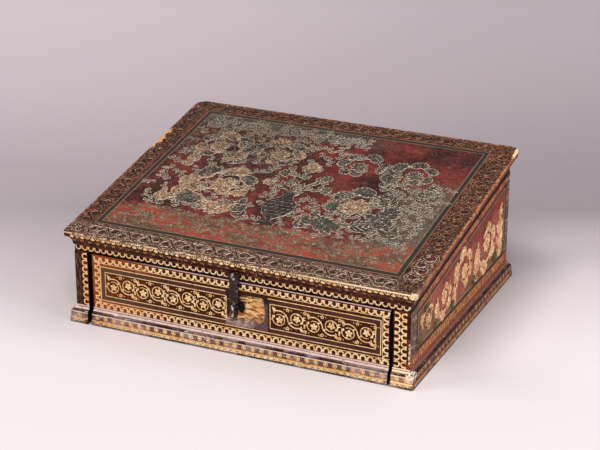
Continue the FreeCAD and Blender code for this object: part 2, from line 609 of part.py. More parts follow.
node("hasp_eye", cut("hasp_eye", joined("eye_solid", eye_parts), eye_bore))
node("hasp_pin", rod("hasp_pin", "dims.hasp_pin_radius", "dims.hasp_width", (HASP_X[0], HASP_Y, HASP_Z)))

doc.recompute()

for item in doc.Objects:
    if "Invalid" in item.State or "Error" in item.State:
        raise RuntimeError(f"{item.Label} did not build: {item.State}")
for name, piece in NODES.items():
    if piece.Shape.isNull() or not piece.Shape.isValid() or not piece.Shape.Solids:
        raise RuntimeError(f"{name} has no valid solid")

os.makedirs("parts", exist_ok=True)
for name, piece in NODES.items():
    piece.Shape.exportStep(f"parts/{name}.step")
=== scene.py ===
"""Looks of a leather-covered writing box: tooled and gilt leather, a painted lid, bared wood and iron.

Metres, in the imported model's frame: X to the right along the front, Y to the back, Z up.
Raised work is drawn in millimetres across each face, and stands a hair proud of the leather.
"""
import math
import random

import bpy
from mathutils import Euler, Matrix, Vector


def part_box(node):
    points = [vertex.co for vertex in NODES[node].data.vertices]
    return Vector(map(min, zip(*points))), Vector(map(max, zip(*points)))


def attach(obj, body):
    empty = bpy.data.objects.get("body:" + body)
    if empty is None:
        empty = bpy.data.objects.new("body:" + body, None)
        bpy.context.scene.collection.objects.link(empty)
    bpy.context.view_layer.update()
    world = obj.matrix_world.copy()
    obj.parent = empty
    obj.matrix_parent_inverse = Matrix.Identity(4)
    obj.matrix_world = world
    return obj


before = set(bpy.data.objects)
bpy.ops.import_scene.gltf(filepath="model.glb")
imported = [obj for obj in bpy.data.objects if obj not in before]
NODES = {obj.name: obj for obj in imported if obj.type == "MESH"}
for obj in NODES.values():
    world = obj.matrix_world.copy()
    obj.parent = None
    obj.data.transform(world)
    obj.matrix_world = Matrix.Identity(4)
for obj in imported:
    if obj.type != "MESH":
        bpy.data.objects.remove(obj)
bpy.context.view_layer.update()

MM = 0.001
X_AXIS = Vector((1, 0, 0))
Y_AXIS = Vector((0, 1, 0))
Z_AXIS = Vector((0, 0, 1))


# ---------------------------------------------------------------- places taken from the frame

def low(node):
    """A node's lowest corner, in millimetres."""
    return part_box(node)[0] / MM


def high(node):
    """A node's highest corner, in millimetres."""
    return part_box(node)[1] / MM


def tilt_of(node):
    """The slope of a node's upper faces, as an angle about X."""
    total = Vector()
    for face in NODES[node].data.polygons:
        if face.normal.z > 0.8:
            total += face.normal * face.area
    return math.atan2(-total.y, total.z)


TILT = tilt_of("lid_cover_leather")
RIM_HEIGHT = 25
FRIEZE_HEIGHT = 7.6
LID_FRONT = low("lid_cover_leather").y
LID_BACK = high("lid_cover_leather").y
LID_LEFT = low("lid_cover_leather").x
LID_RIGHT = high("lid_cover_leather").x
LID_LENGTH = (LID_BACK - LID_FRONT) / math.cos(TILT)
LID_FRONT_TOP = high("lid_cover_leather").z - (LID_BACK - LID_FRONT) * math.tan(TILT)

CASE_FRONT = low("drawer_front_leather").y
CASE_BACK = high("back_leather").y
CASE_LEFT = low("left_side_leather").x
CASE_RIGHT = high("right_side_leather").x

DRAWER_LEFT = low("drawer_front_leather").x
DRAWER_RIGHT = high("drawer_front_leather").x
DRAWER_FOOT = low("drawer_front_leather").z
DRAWER_TOP = high("drawer_front_leather").z


def seat_line(y):
    """Height of the sloping seat between the case and its lid."""
    return LID_FRONT_TOP - RIM_HEIGHT + (y - LID_FRONT) * math.tan(TILT)


class Face:
    """A flat face to work on: u across it, v up it and h out of it, in millimetres."""

    def __init__(self, origin, across, up):
        self.origin = Vector(origin)
        self.across = across
        self.up = up
        self.out = across.cross(up)

    def point(self, u, v, h=0.0):
        return (self.origin + self.across * u + self.up * v + self.out * h) * MM


UP_SLOPE = Vector((0, math.cos(TILT), math.sin(TILT)))
OFF_SLOPE = Vector((0, -math.sin(TILT), math.cos(TILT)))
FRONT = Face((0, CASE_FRONT, 0), X_AXIS, Z_AXIS)
RIGHT_SIDE = Face((CASE_RIGHT, 0, 0), Y_AXIS, Z_AXIS)
LEFT_SIDE = Face((CASE_LEFT, 0, 0), -Y_AXIS, Z_AXIS)
LID_TOP = Face((0, LID_FRONT, LID_FRONT_TOP), X_AXIS, UP_SLOPE)
GROUND = Face((0, 0, 0), X_AXIS, Y_AXIS)
OUTWARD = (-Y_AXIS, X_AXIS, Y_AXIS, -X_AXIS)    # of the front, the right side, the back and the left side


def placed(name, data):
    """An object in the scene, for a mesh, a lamp or the camera."""
    made = bpy.data.objects.new(name, data)
    bpy.context.collection.objects.link(made)
    return made


# ---------------------------------------------------------------- camera and light

CAMERA_PLACE = (0.8017, -1.7597, 0.8912)
CAMERA_TURN = (67.5, 0.0, 24.4)
CAMERA_LENS = 110.25
AIM = Vector((0, 0, 0.05))
SKY_COLOUR = (0.93, 0.90, 0.92, 1)
SKY_STRENGTH = 0.34


def set_camera():
    data = bpy.data.cameras.new("camera")
    data.lens = CAMERA_LENS
    data.sensor_width = 36.0
    camera = placed("camera", data)
    camera.location = CAMERA_PLACE
    camera.rotation_euler = Euler([math.radians(angle) for angle in CAMERA_TURN])
    bpy.context.scene.camera = camera


def soft_lamp(name, place, size, power, colour):
    """A square area lamp that looks at the box."""
    data = bpy.data.lights.new(name, "AREA")
    data.size = size
    data.energy = power
    data.color = colour
    lamp = placed(name, data)
    lamp.location = place
    lamp.rotation_euler = (AIM - Vector(place)).to_track_quat("-Z", "Y").to_euler()


def set_lights():
    soft_lamp("key_lamp", (0.6, -1.8, 2.3), 1.2, 46, (1.0, 0.985, 0.97))
    soft_lamp("left_lamp", (-2.1, -1.2, 1.5), 1.4, 31, (1.0, 0.99, 0.98))
    soft_lamp("right_lamp", (2.2, -0.1, 1.6), 1.4, 26, (1.0, 0.99, 0.98))
    soft_lamp("top_lamp", (0.9, 1.0, 2.4), 1.4, 10, (0.98, 0.98, 1.0))
    world = bpy.data.worlds.new("studio")
    bpy.context.scene.world = world
    world.use_nodes = True
    sky = world.node_tree.nodes["Background"]
    sky.inputs["Color"].default_value = SKY_COLOUR
    sky.inputs["Strength"].default_value = SKY_STRENGTH


# ---------------------------------------------------------------- material bench

def linear(colour):
    """A colour given in screen values from 0 to 255, as the linear one that shaders work in."""
    shares = [value / 255 for value in colour]
    levels = [share / 12.92 if share <= 0.04045 else ((share + 0.055) / 1.055) ** 2.4 for share in shares]
    return (*levels, 1.0)


def arithmetic(operation, swapped=False):
    """A method of Wire that stands for one Math node."""
    def method(self, other=0.0):
        first, second = (other, self) if swapped else (self, other)
        return self.bench.math(operation, first, second)
    return method


class Wire:
    """What comes out of a node. Plain arithmetic on it puts Math nodes into its tree."""

    def __init__(self, bench, socket):
        self.bench = bench
        self.socket = socket

    __add__ = __radd__ = arithmetic("ADD")
    __mul__ = __rmul__ = arithmetic("MULTIPLY")
    __sub__ = arithmetic("SUBTRACT")
    __rsub__ = arithmetic("SUBTRACT", swapped=True)
    __truediv__ = arithmetic("DIVIDE")
    __rtruediv__ = arithmetic("DIVIDE", swapped=True)
    __pow__ = arithmetic("POWER")
    __abs__ = arithmetic("ABSOLUTE")
    larger = arithmetic("MAXIMUM")
    smaller = arithmetic("MINIMUM")

    def step(self, start, end):
        """Rises smoothly from 0 to 1 between two values, or falls where start is the larger."""
        return self.bench.wire("ShaderNodeMapRange", {"Value": self, "From Min": start, "From Max": end},
                               interpolation_type="SMOOTHSTEP", clamp=True)

    def scaled(self, least, most):
        """A mask stretched to run between two values."""
        return self.bench.wire("ShaderNodeMapRange", {"Value": self, "To Min": least, "To Max": most})


class Bench:
    """Short ways to put nodes into a tree."""

    def __init__(self, tree):
        self.tree = tree

    def plug(self, value, socket):
        """Links a wire to a socket, or sets a constant on it."""
        if isinstance(value, Wire):
            self.tree.links.new(value.socket, socket)
        else:
            socket.default_value = value

    def node(self, kind, plugs=None, **settings):
        made = self.tree.nodes.new(kind)
        for setting, value in settings.items():
            setattr(made, setting, value)
        for socket, value in (plugs or {}).items():
            self.plug(value, made.inputs[socket])
        return made

    def wires(self, kind, plugs, outputs, **settings):
        """Several outputs of a new node."""
        made = self.node(kind, plugs, **settings)
        return [Wire(self, made.outputs[output]) for output in outputs]

    def wire(self, kind, plugs=None, output=0, **settings):
        return self.wires(kind, plugs, [output], **settings)[0]

    def math(self, operation, first, second=0.0, clamp=False):
        return self.wire("ShaderNodeMath", {0: first, 1: second}, operation=operation, use_clamp=clamp)

    def vector(self, operation, first, second=None, output=0):
        """Vector arithmetic: the second operand is a vector, or the factor of a SCALE."""
        plugs = {0: first}
        if second is not None:
            plugs["Scale" if operation == "SCALE" else 1] = second
        return self.wire("ShaderNodeVectorMath", plugs, output, operation=operation)

    def axes(self, place):
        return self.wires("ShaderNodeSeparateXYZ", {0: place}, ["X", "Y", "Z"])

    def mapped(self, place, **plugs):
        """A place that is moved, turned or scaled."""
        return self.wire("ShaderNodeMapping", {"Vector": place, **plugs})

    def mix(self, share, first, second, blend="MIX"):
        """Two colours mixed; each may be a wire, or screen values."""
        first, second = [colour if isinstance(colour, Wire) else linear(colour) for colour in (first, second)]
        return self.wire("ShaderNodeMix", {0: share, 6: first, 7: second}, 2,
                         data_type="RGBA", blend_type=blend, clamp_factor=True)

    def coats(self, ground, *coats):
        """A ground colour with others laid over it in turn: each coat is (where it lies, its colour)."""
        colour = ground
        for share, coat in coats:
            colour = self.mix(share, colour, coat)
        return colour

    def chance(self, seed, least, most=1.0):
        """A random number for each stamp."""
        return self.wire("FunctionNodeRandomValue", {2: least, 3: most, "Seed": seed}, 1, data_type="FLOAT")

    def noise(self, place, size, detail=3.0, roughness=0.55, distortion=0.0):
        return self.wire("ShaderNodeTexNoise", {"Vector": place, "Scale": 1 / size, "Detail": detail,
                                                "Roughness": roughness, "Distortion": distortion})

    def bands(self, distance, reach, stops, interpolation="CONSTANT"):
        """One colour for each band of a distance: stops are (start of the band, its colour)."""
        ramp = self.node("ShaderNodeValToRGB", {"Fac": self.math("DIVIDE", distance, reach, clamp=True)})
        ramp.color_ramp.interpolation = interpolation
        points = ramp.color_ramp.elements
        while len(points) < len(stops):
            points.new(1.0)
        for point, (start, colour) in zip(points, stops):
            point.position = start / reach
            point.color = linear(colour)
        return Wire(self, ramp.outputs["Color"])

    def use(self, group, **plugs):
        """Places a shared group; its inputs are given by their names in small letters."""
        named = {name.capitalize(): value for name, value in plugs.items()}
        return self.wire("ShaderNodeGroup", named, node_tree=group)


def new_group(name, kind, inputs, output):
    """An empty node group with named sockets: returns its bench, its inputs and its output."""
    tree = bpy.data.node_groups.new(name, kind)
    for socket_name, socket_kind in inputs.items():
        tree.interface.new_socket(socket_name, in_out="INPUT", socket_type="NodeSocket" + socket_kind)
    tree.interface.new_socket(output[0], in_out="OUTPUT", socket_type="NodeSocket" + output[1])
    bench = Bench(tree)
    given = {socket.name: Wire(bench, socket) for socket in tree.nodes.new("NodeGroupInput").outputs}
    return bench, given, tree.nodes.new("NodeGroupOutput").inputs[0]


def shader_group(name, vectors, numbers, output="Mask"):
    """An empty shader group, by the names of its vector and number inputs."""
    inputs = {**dict.fromkeys(vectors, "Vector"), **dict.fromkeys(numbers, "Float")}
    return new_group(name, "ShaderNodeTree", inputs, (output, "Float"))


NOISE_TOP = 0.68        # nearly all of the patches' noise lies below this
NOISE_SPREAD = 0.36     # and no further below it than this


def make_patches():
    """Soft-edged blotches of a given size that cover a given share of the surface."""
    bench, given, result = shader_group("patches", ["Place"], ["Size", "Share", "Blur"])
    field = bench.noise(given["Place"], given["Size"], 5.0, 0.62, 0.4)
    edge = NOISE_TOP - given["Share"] * NOISE_SPREAD
    bench.plug(field.step(edge - given["Blur"], edge + given["Blur"]), result)
    return bench.tree


def make_scribble():
    """Fine curling lines, as from a tracing tool: the level lines of a turned field."""
    bench, given, result = shader_group("scribble", ["Place"], ["Size", "Thickness", "Turns"])
    field = bench.noise(given["Place"], given["Size"], 1.5, 0.5, 1.1)
    away = abs(bench.math("FRACT", field * given["Turns"]) - 0.5)
    bench.plug(away.step(given["Thickness"], 0.0), result)
    return bench.tree


def make_grain():
    """The pores and creases of old leather, as a height."""
    bench, given, result = shader_group("leather_grain", ["Place"], ["Pore"], "Height")
    pores = bench.wire("ShaderNodeTexVoronoi", {"Vector": given["Place"], "Scale": 1 / given["Pore"]},
                       "Distance")
    bench.plug(pores * 0.35 + bench.noise(given["Place"], 7.0, 6.0, 0.65, 0.5), result)
    return bench.tree


def make_inside():
    """How far a place lies inside a rectangle, in millimetres, and less than 0 outside it."""
    numbers = ["Across", "Up", "Left", "Right", "Low", "High"]
    bench, given, result = shader_group("inside_rectangle", [], numbers, "Distance")
    across = (given["Across"] - given["Left"]).smaller(given["Right"] - given["Across"])
    up = (given["Up"] - given["Low"]).smaller(given["High"] - given["Up"])
    bench.plug(across.smaller(up), result)
    return bench.tree


def make_chip():
    """A ragged spot about a centre, where the surface has broken away."""
    bench, given, result = shader_group("chip", ["Place", "Centre", "Reach"], [])
    share = bench.vector("DIVIDE", bench.vector("SUBTRACT", given["Place"], given["Centre"]), given["Reach"])
    length = bench.vector("LENGTH", share, output="Value")
    ragged = length + (bench.noise(given["Place"], 3.5, 4.0) - 0.5)
    bench.plug(ragged.step(1.02, 0.9), result)
    return bench.tree


def make_wander():
    """A slow noise either side of 0, that makes a straight edge waver."""
    bench, given, result = shader_group("wander", ["Place"], ["Size", "Detail", "Reach"], "Distance")
    field = bench.noise(given["Place"], given["Size"], given["Detail"])
    bench.plug(field.scaled(given["Reach"] * -1.0, given["Reach"]), result)
    return bench.tree


def make_gap_shade():
    """The edges on both sides of the gaps beside the drawer, which lie in the dark."""
    bench, given, result = shader_group("gap_shade", [], ["Across", "Reach"])
    shade = 0.0
    for edge in (high("left_pilaster_leather").x, DRAWER_LEFT, DRAWER_RIGHT, low("right_pilaster_leather").x):
        shade = abs(given["Across"] - edge).step(given["Reach"], given["Reach"] - 0.4).larger(shade)
    bench.plug(shade, result)
    return bench.tree


def make_dark_end():
    """The darker upper left end of the lid's picture."""
    bench, given, result = shader_group("dark_end_of_lid", [], ["Across", "Up"])
    bench.plug(given["Up"].step(160.0, 250.0) * given["Across"].step(10.0, -70.0), result)
    return bench.tree


PATCHES = make_patches()
SCRIBBLE = make_scribble()
GRAIN = make_grain()
INSIDE = make_inside()
CHIP = make_chip()
WANDER = make_wander()
GAP_SHADE = make_gap_shade()
DARK_END = make_dark_end()


def lid_origin():
    """The middle of the lid's front arris, turned into the lid's own axes."""
    turned = Vector((0, LID_FRONT, LID_FRONT_TOP))
    turned.rotate(Euler((-TILT, 0, 0)))
    return turned


class Surface(Bench):
    """A material on the bench: its place in millimetres, its Principled shader and a bump."""

    def __init__(self, name, on_lid=False):
        self.material = bpy.data.materials.new(name)
        self.material.use_nodes = True
        super().__init__(self.material.node_tree)
        self.shader = self.tree.nodes["Principled BSDF"]
        plugs = {"Scale": (1 / MM, 1 / MM, 1 / MM)}
        if on_lid:
            plugs.update({"Rotation": (-TILT, 0.0, 0.0), "Location": -lid_origin()})
        self.place = self.mapped(self.wire("ShaderNodeTexCoord", output="Object"), **plugs)
        self.x, self.y, self.z = self.axes(self.place)

    def stretched(self, across, deep, up):
        """The place with each axis shrunk by a factor, for grain that runs one way."""
        return self.mapped(self.place, Scale=(1 / across, 1 / deep, 1 / up))

    def patches(self, size, share=0.5, blur=0.1, place=None):
        return self.use(PATCHES, place=place or self.place, size=size, share=share, blur=blur)

    def scribble(self, size, thickness, turns, place=None):
        return self.use(SCRIBBLE, place=place or self.place, size=size, thickness=thickness, turns=turns)

    def inside(self, across, up, left, right, low, high):
        return self.use(INSIDE, across=across, up=up, left=left, right=right, low=low, high=high)

    def chip(self, centre, reach):
        return self.use(CHIP, place=self.place, centre=centre, reach=reach)

    def grain(self, pore):
        return self.use(GRAIN, place=self.place, pore=pore)

    def wander(self, size, detail, reach):
        return self.use(WANDER, place=self.place, size=size, detail=detail, reach=reach)

    def gap_shade(self, reach=1.0):
        return self.use(GAP_SHADE, across=self.x, reach=reach)

    def dark_end(self):
        return self.use(DARK_END, across=self.x, up=self.y)

    def bump(self, height, depth, strength=0.5):
        """Raises the surface by a height field; depth is in millimetres."""
        plugs = {"Height": height, "Distance": depth * MM, "Strength": strength}
        self.plug(self.wire("ShaderNodeBump", plugs), self.shader.inputs["Normal"])

    def finish(self, colour, roughness, metallic=0.0, specular=0.25):
        for socket, value in (("Base Color", colour), ("Roughness", roughness), ("Metallic", metallic),
                              ("Specular IOR Level", specular)):
            self.plug(value, self.shader.inputs[socket])
        return self.material


# ---------------------------------------------------------------- leather, wood and iron finishes

# Near-black painted shade: on the edges in the gaps beside the drawer, in the gap under the lid and at the
# foot of the base.
PAINTED_SHADE_BLACK = (8, 3, 2)
PANEL_LOW = 36.6
PANEL_HIGH = 65.2
LEFT_PANEL = (-162, -12.5)
RIGHT_PANEL = (39.7, 161.3)
BAND_WIDTH = 5.8
SCAR_LEFT = -10.8
SCAR_RIGHT = 34
SCAR_LOW = 36
SCAR_HIGH = 71.5


def leather_of_drawer_front():
    """Dark panels for the vines, a plum-grey band and a border, rubbed to its gilding at the left end, with a
    pale top arris that is worn and carries a painted highlight.
    """
    surface = Surface("drawer_front_tooled_leather")
    left, right = [surface.inside(surface.x, surface.z, *panel, PANEL_LOW, PANEL_HIGH)
                   for panel in (LEFT_PANEL, RIGHT_PANEL)]
    away = surface.wander(14, 3, 0.4) - left.larger(right)
    kept = surface.patches(size=26, share=0.42, blur=0.09)
    fine = surface.patches(size=2.2, share=0.4, blur=0.05)
    towards_left = surface.x.step(-60, -165)
    gilding = kept.scaled(0.6, 1) * towards_left.scaled(0.1, 0.95)
    panel = surface.mix(gilding * 0.5, (54, 20, 6), (120, 62, 28))
    band = surface.coats((74, 42, 38), (kept, (54, 30, 28)), (towards_left * 0.8, (84, 66, 56)))
    border = surface.mix(gilding, (42, 10, 3), (162, 82, 44))
    # The pale top arris: worn leather with a painted highlight, fading out towards the left end.
    top_arris = surface.z.step(DRAWER_TOP - 1.3, DRAWER_TOP - 0.6) * surface.x.step(-150, -60)
    colour = surface.coats(
        panel,
        (away.step(-0.1, 0.1), band),
        (away.step(BAND_WIDTH - 0.6, BAND_WIDTH - 0.2), border),
        (fine * 0.14, (150, 92, 56)),
        (surface.gap_shade(), PAINTED_SHADE_BLACK),
        (top_arris * 0.9, (216, 178, 172)))
    surface.bump(surface.grain(0.8), 0.25)
    return surface.finish(colour, kept.scaled(0.4, 0.6), specular=0.05)


def leather_of_pilasters():
    """Plum-brown ground, dark and scuffed at the far left, with a painted highlight down the lower part of
    the right arris.
    """
    surface = Surface("pilaster_tooled_leather")
    kept = surface.patches(size=16, share=0.35, blur=0.08)
    speck = surface.patches(size=3.4, blur=0.04)
    streak = surface.noise(surface.stretched(0.6, 1, 5), 1.6, 4, 0.7)
    scuffed = surface.mix(streak.step(0.5, 0.72), (46, 22, 14), (156, 118, 92))
    # A painted highlight in broken specks down the lower right arris.
    right_arris_highlight = surface.x.step(CASE_RIGHT - 2.4, CASE_RIGHT - 1.2) * speck * surface.z.step(58, 44)
    colour = surface.coats(
        (56, 20, 6),
        (kept, (104, 50, 24)),
        (surface.x.step(CASE_LEFT + 9.5, CASE_LEFT + 6.5), scuffed),
        (surface.gap_shade(), PAINTED_SHADE_BLACK),
        (right_arris_highlight, (240, 214, 180)))
    surface.bump(surface.grain(0.8), 0.25)
    return surface.finish(colour, kept.scaled(0.4, 0.6), specular=0.06)


SIDE_PANEL_FRONT = -135
SIDE_PANEL_BACK = 143
SIDE_PANEL_LOW = 36.5
SIDE_PANEL_DROP = 13
SIDE_FRAME = 3.6
FAN_CENTRES = ((-86, 46), (-24, 44), (38, 50), (112, 60))
FAN_RAYS = 44
FAN_REACH = 44


def fan_of_rays(surface, centre_y, centre_z):
    """Fine rays about a centre on the box's side."""
    over = surface.z - centre_z
    beyond = surface.y - centre_y
    rays = surface.math("SINE", surface.math("ARCTAN2", over, beyond) * FAN_RAYS)
    distance = (over * over + beyond * beyond) ** 0.5
    return rays.step(0.1, 0.8) * distance.step(FAN_REACH, FAN_REACH - 10)


def scuffed_strip_of_sides(surface):
    """Brown leather at the ends of the sides, streaked and scratched on a slant."""
    streak = surface.noise(surface.stretched(1, 0.8, 4), 2, 4, 0.65)
    slanting = surface.mapped(surface.place, Rotation=(0.62, 0, 0), Scale=(1, 0.06, 1))
    scratches = surface.noise(slanting, 1.5, 2)
    return surface.coats(
        (78, 52, 44),
        (streak.step(0.46, 0.7), (158, 126, 106)),
        (scratches.step(0.6, 0.68), (216, 186, 168)))


def leather_of_sides():
    """A crimson picture panel that follows the slope, with fans of fine rays, in dark frame lines, and a
    painted shadow just under the lid.
    """
    surface = Surface("side_tooled_leather")
    ceiling = surface.y * math.tan(TILT) + (seat_line(0) - SIDE_PANEL_DROP)
    headroom = ceiling - surface.z
    inside = surface.inside(surface.y, surface.z, SIDE_PANEL_FRONT, SIDE_PANEL_BACK, SIDE_PANEL_LOW, 200)
    inside = inside.smaller(headroom)

    marks = surface.scribble(size=8, thickness=0.16, turns=8)
    mound = surface.noise(surface.place, 40, 2) * 46 + 20 - surface.z
    front_end = surface.y.step(SIDE_PANEL_FRONT + 46, SIDE_PANEL_FRONT + 14)
    panel = surface.coats(
        (138, 52, 42),
        (surface.patches(size=34, share=0.45) * 0.6, (92, 46, 34)),
        *((fan_of_rays(surface, *fan) * 0.75, (206, 132, 108)) for fan in FAN_CENTRES),
        ((mound.step(-2, 2) * 0.8).larger(front_end * 0.7),
         surface.mix(marks, (92, 78, 50), (158, 142, 98))))

    dashes = surface.scribble(size=6, thickness=0.14, turns=4, place=surface.stretched(1, 1, 0.6))
    front_strip = surface.y.step(SIDE_PANEL_FRONT + 3, SIDE_PANEL_FRONT - 3)
    back_strip = surface.y.step(SIDE_PANEL_BACK - 2, SIDE_PANEL_BACK + 2)
    border = surface.coats(
        (184, 88, 56),
        (surface.patches(size=18), (138, 66, 46)),
        (dashes * 0.8, (228, 174, 100)),
        (front_strip.larger(back_strip), scuffed_strip_of_sides(surface)),
        (surface.z.step(34, 32.5), (150, 78, 38)))

    grime = surface.patches(size=5, share=0.3)
    colour = surface.coats(
        border,
        (inside.step(0, 0.3), panel),
        (inside.step(-SIDE_FRAME - 0.2, -SIDE_FRAME) * inside.step(0.3, 0), (48, 38, 32)),
        (abs(inside - 0.7).step(0.6, 0.3), (176, 138, 92)),
        (grime * 0.4, (66, 36, 24)),
        # Near-black just under the lid's overhang: a painted shadow.
        ((headroom + SIDE_PANEL_DROP).step(2, 1.2), (12, 5, 4)))
    surface.bump(surface.grain(0.9) + marks, 0.25)
    return surface.finish(colour, grime.scaled(0.42, 0.55), specular=0.1)


def leather_of_back():
    """Plain dark brown leather with a blind-tooled double line about it."""
    surface = Surface("back_plain_leather")
    inside = surface.inside(surface.x, surface.z, CASE_LEFT, CASE_RIGHT, low("back_leather").z,
                            high("back_leather").z)
    blotch = surface.patches(size=45, blur=0.15)
    groove = abs(abs(inside - 9) - 1.4).step(0.7, 0.3)
    worn = inside.step(5, 1) * surface.patches(size=6)
    colour = surface.coats(
        (84, 50, 38),
        (blotch, (106, 66, 48)),
        (groove, (44, 28, 24)),
        (worn, (134, 96, 70)))
    surface.bump(surface.grain(1.2) - groove, 0.3, 0.6)
    return surface.finish(colour, blotch.scaled(0.45, 0.6))


FIELD_LEFT = -177.7
FIELD_RIGHT = 173
FIELD_LOW = 36
FIELD_HIGH = 308
GROUND_HIGH = 86
FRAME = 6.7
BORDER_PITCH = 27


def field_of_lid(surface):
    """Smoky crimson over a strip of orange ground, with traced strokes."""
    upper_left = surface.dark_end()
    right_end = surface.x.step(90, 150) * surface.y.step(250, 180)
    top_edge = surface.noise(surface.place, 24, 4) * 40 + 264
    top_strip = (surface.y - top_edge).step(-2, 2) * surface.x.step(90, 10)
    ground_edge = surface.noise(surface.place, 70, 2) * 60 + (GROUND_HIGH - 34)
    ground = (ground_edge - surface.y).step(-4, 4)
    embers = surface.patches(size=26, place=surface.stretched(2.2, 1, 1))
    strokes = surface.scribble(size=14, thickness=0.15, turns=7, place=surface.stretched(1.6, 1, 1))
    busy = ground.larger(upper_left).larger(right_end)
    return surface.coats(
        (122, 46, 41),
        (surface.patches(size=62, blur=0.12), (50, 25, 24)),
        (surface.patches(size=7) * 0.5, (58, 22, 19)),
        (upper_left * 0.75, (52, 34, 31)),
        (right_end * 0.85, (80, 74, 66)),
        (top_strip, (68, 60, 53)),
        (ground * 0.9, surface.mix(embers, (152, 66, 47), (92, 64, 50))),
        (strokes * busy.scaled(0.2, 0.75), (150, 130, 108)))


def border_of_lid(surface, scrawl):
    """Rubbed red-brown leather, greyed in front by a painted sheen, with pale and inky scribbles."""
    ink_place = surface.mapped(surface.place, Location=(41, 23, 9))
    return surface.coats(
        (64, 24, 15),
        (surface.patches(size=24, share=0.55, blur=0.12), (112, 52, 33)),
        # Greyer along the front: a painted sheen.
        (surface.y.step(34, 26) * 0.6, (104, 80, 71)),
        (scrawl * 0.35, (150, 116, 92)),
        (surface.scribble(size=9, thickness=0.3, turns=4, place=ink_place) * 0.9,
         (30, 16, 13)))


def leather_of_lid():
    """Crimson painted field, a dark frame with thin pale lines, and a scribbled red-brown border, with
    painted highlights along the front and right arrises.
    """
    surface = Surface("lid_painted_leather", on_lid=True)
    inside = surface.inside(surface.x, surface.y, FIELD_LEFT, FIELD_RIGHT, FIELD_LOW, FIELD_HIGH)
    inside = inside + surface.wander(22, 2, 0.6)
    scrawl = surface.scribble(size=5, thickness=0.2, turns=5)

    # The bands start at 0, so they are counted from a line well outside the frame.
    outside = 40
    frame_stops = [(0, (0, 0, 0)), (outside - 6.6, (150, 118, 88)), (outside - 6, (50, 46, 42)),
                   (outside - 0.8, (148, 126, 100)), (outside, (0, 0, 0))]
    in_frame = inside.step(-FRAME, 0.2 - FRAME) * inside.step(0.1, -0.1)

    edge = surface.inside(surface.x, surface.y, LID_LEFT, LID_RIGHT, 0, LID_LENGTH)
    flaking = surface.patches(size=7, blur=0.05)
    # Painted highlights along the right and front arrises, broken where the leather flakes.
    right_arris_highlight = surface.x.step(LID_RIGHT - 1.5, LID_RIGHT - 0.7) * flaking.scaled(0.35, 1)
    right_arris_highlight = right_arris_highlight * surface.y.step(30, 190).scaled(0.25, 0.95)
    front_arris_highlight = surface.y.step(1.3, 0.6) * (flaking * 0.7).larger(surface.x.step(30, 150))
    glints = surface.patches(size=3.2, share=0.12, blur=0.02) * inside.step(-7, -9)
    left_chip = surface.chip((LID_LEFT, 232, 0), (8, 26, 9))
    front_chip = surface.chip((LID_RIGHT, 0, 0), (8, 5, 9))
    back_chip = surface.chip((LID_RIGHT, LID_LENGTH - 12, 0), (4.5, 15, 9))
    colour = surface.coats(
        border_of_lid(surface, scrawl),
        (inside.step(-0.1, 0.1), field_of_lid(surface)),
        (in_frame, surface.bands(inside + outside, 60, frame_stops)),
        (edge.step(4, 1) * flaking * 0.55, (170, 128, 92)),
        (right_arris_highlight, (226, 142, 72)),
        (front_arris_highlight, (250, 222, 184)),
        (glints * 0.8, (226, 208, 192)),
        (left_chip, (214, 152, 98)),
        (front_chip.larger(back_chip), (232, 204, 156)))
    surface.bump(surface.grain(0.9) + scrawl * 0.8, 0.3, 0.6)
    fine = surface.patches(size=7)
    return surface.finish(colour, fine.scaled(0.36, 0.5), specular=0.12)


def leather_of_lid_mouldings(name, fillet, arris_highlight):
    """The cornice's bands, by their height off the slope: frieze, red line, cavetto and fillet, with a
    painted shadow line at the foot of the frieze and a painted highlight along the top arris.
    """
    surface = Surface(name)
    seat = surface.y * math.tan(TILT) + seat_line(0)
    rise = surface.z - seat + surface.wander(9, 2, 0.3)
    # The black band at rise 0 is a painted shadow under the frieze.
    stops = [(0, PAINTED_SHADE_BLACK), (1.8, (38, 12, 7)), (FRIEZE_HEIGHT - 0.8, (128, 50, 34)),
             (FRIEZE_HEIGHT + 0.6, (38, 14, 10)), (12, (84, 46, 36)), (19, (30, 10, 7)),
             (20.4, fillet), (24, arris_highlight)]
    rub = surface.patches(size=22, share=0.45)
    glints = surface.patches(size=2.6, share=0.14, blur=0.03)
    crumbs = surface.patches(size=1.8, share=0.55, blur=0.06)
    right_chip = surface.chip((LID_RIGHT, LID_FRONT, LID_FRONT_TOP - 2), (9, 7, 3.6))
    inward = surface.inside(surface.x, surface.y, CASE_LEFT, CASE_RIGHT, CASE_FRONT, CASE_BACK)
    colour = surface.coats(
        surface.bands(rise, 26, stops),
        (rub * 0.35, (104, 60, 40)),
        (glints * 0.45, arris_highlight),
        (right_chip * crumbs, (255, 236, 196)),
        (inward.step(4, 5), surface.mix(rub, (88, 50, 32), (104, 64, 42))))
    surface.bump(surface.grain(0.8), 0.25)
    return surface.finish(colour, rub.scaled(0.34, 0.5), specular=0.07)


PLINTH_TOP = 6.2
BAND_TOP = 13.8
GROOVE_TOP = 14.6
HOLLOW_TOP = 19


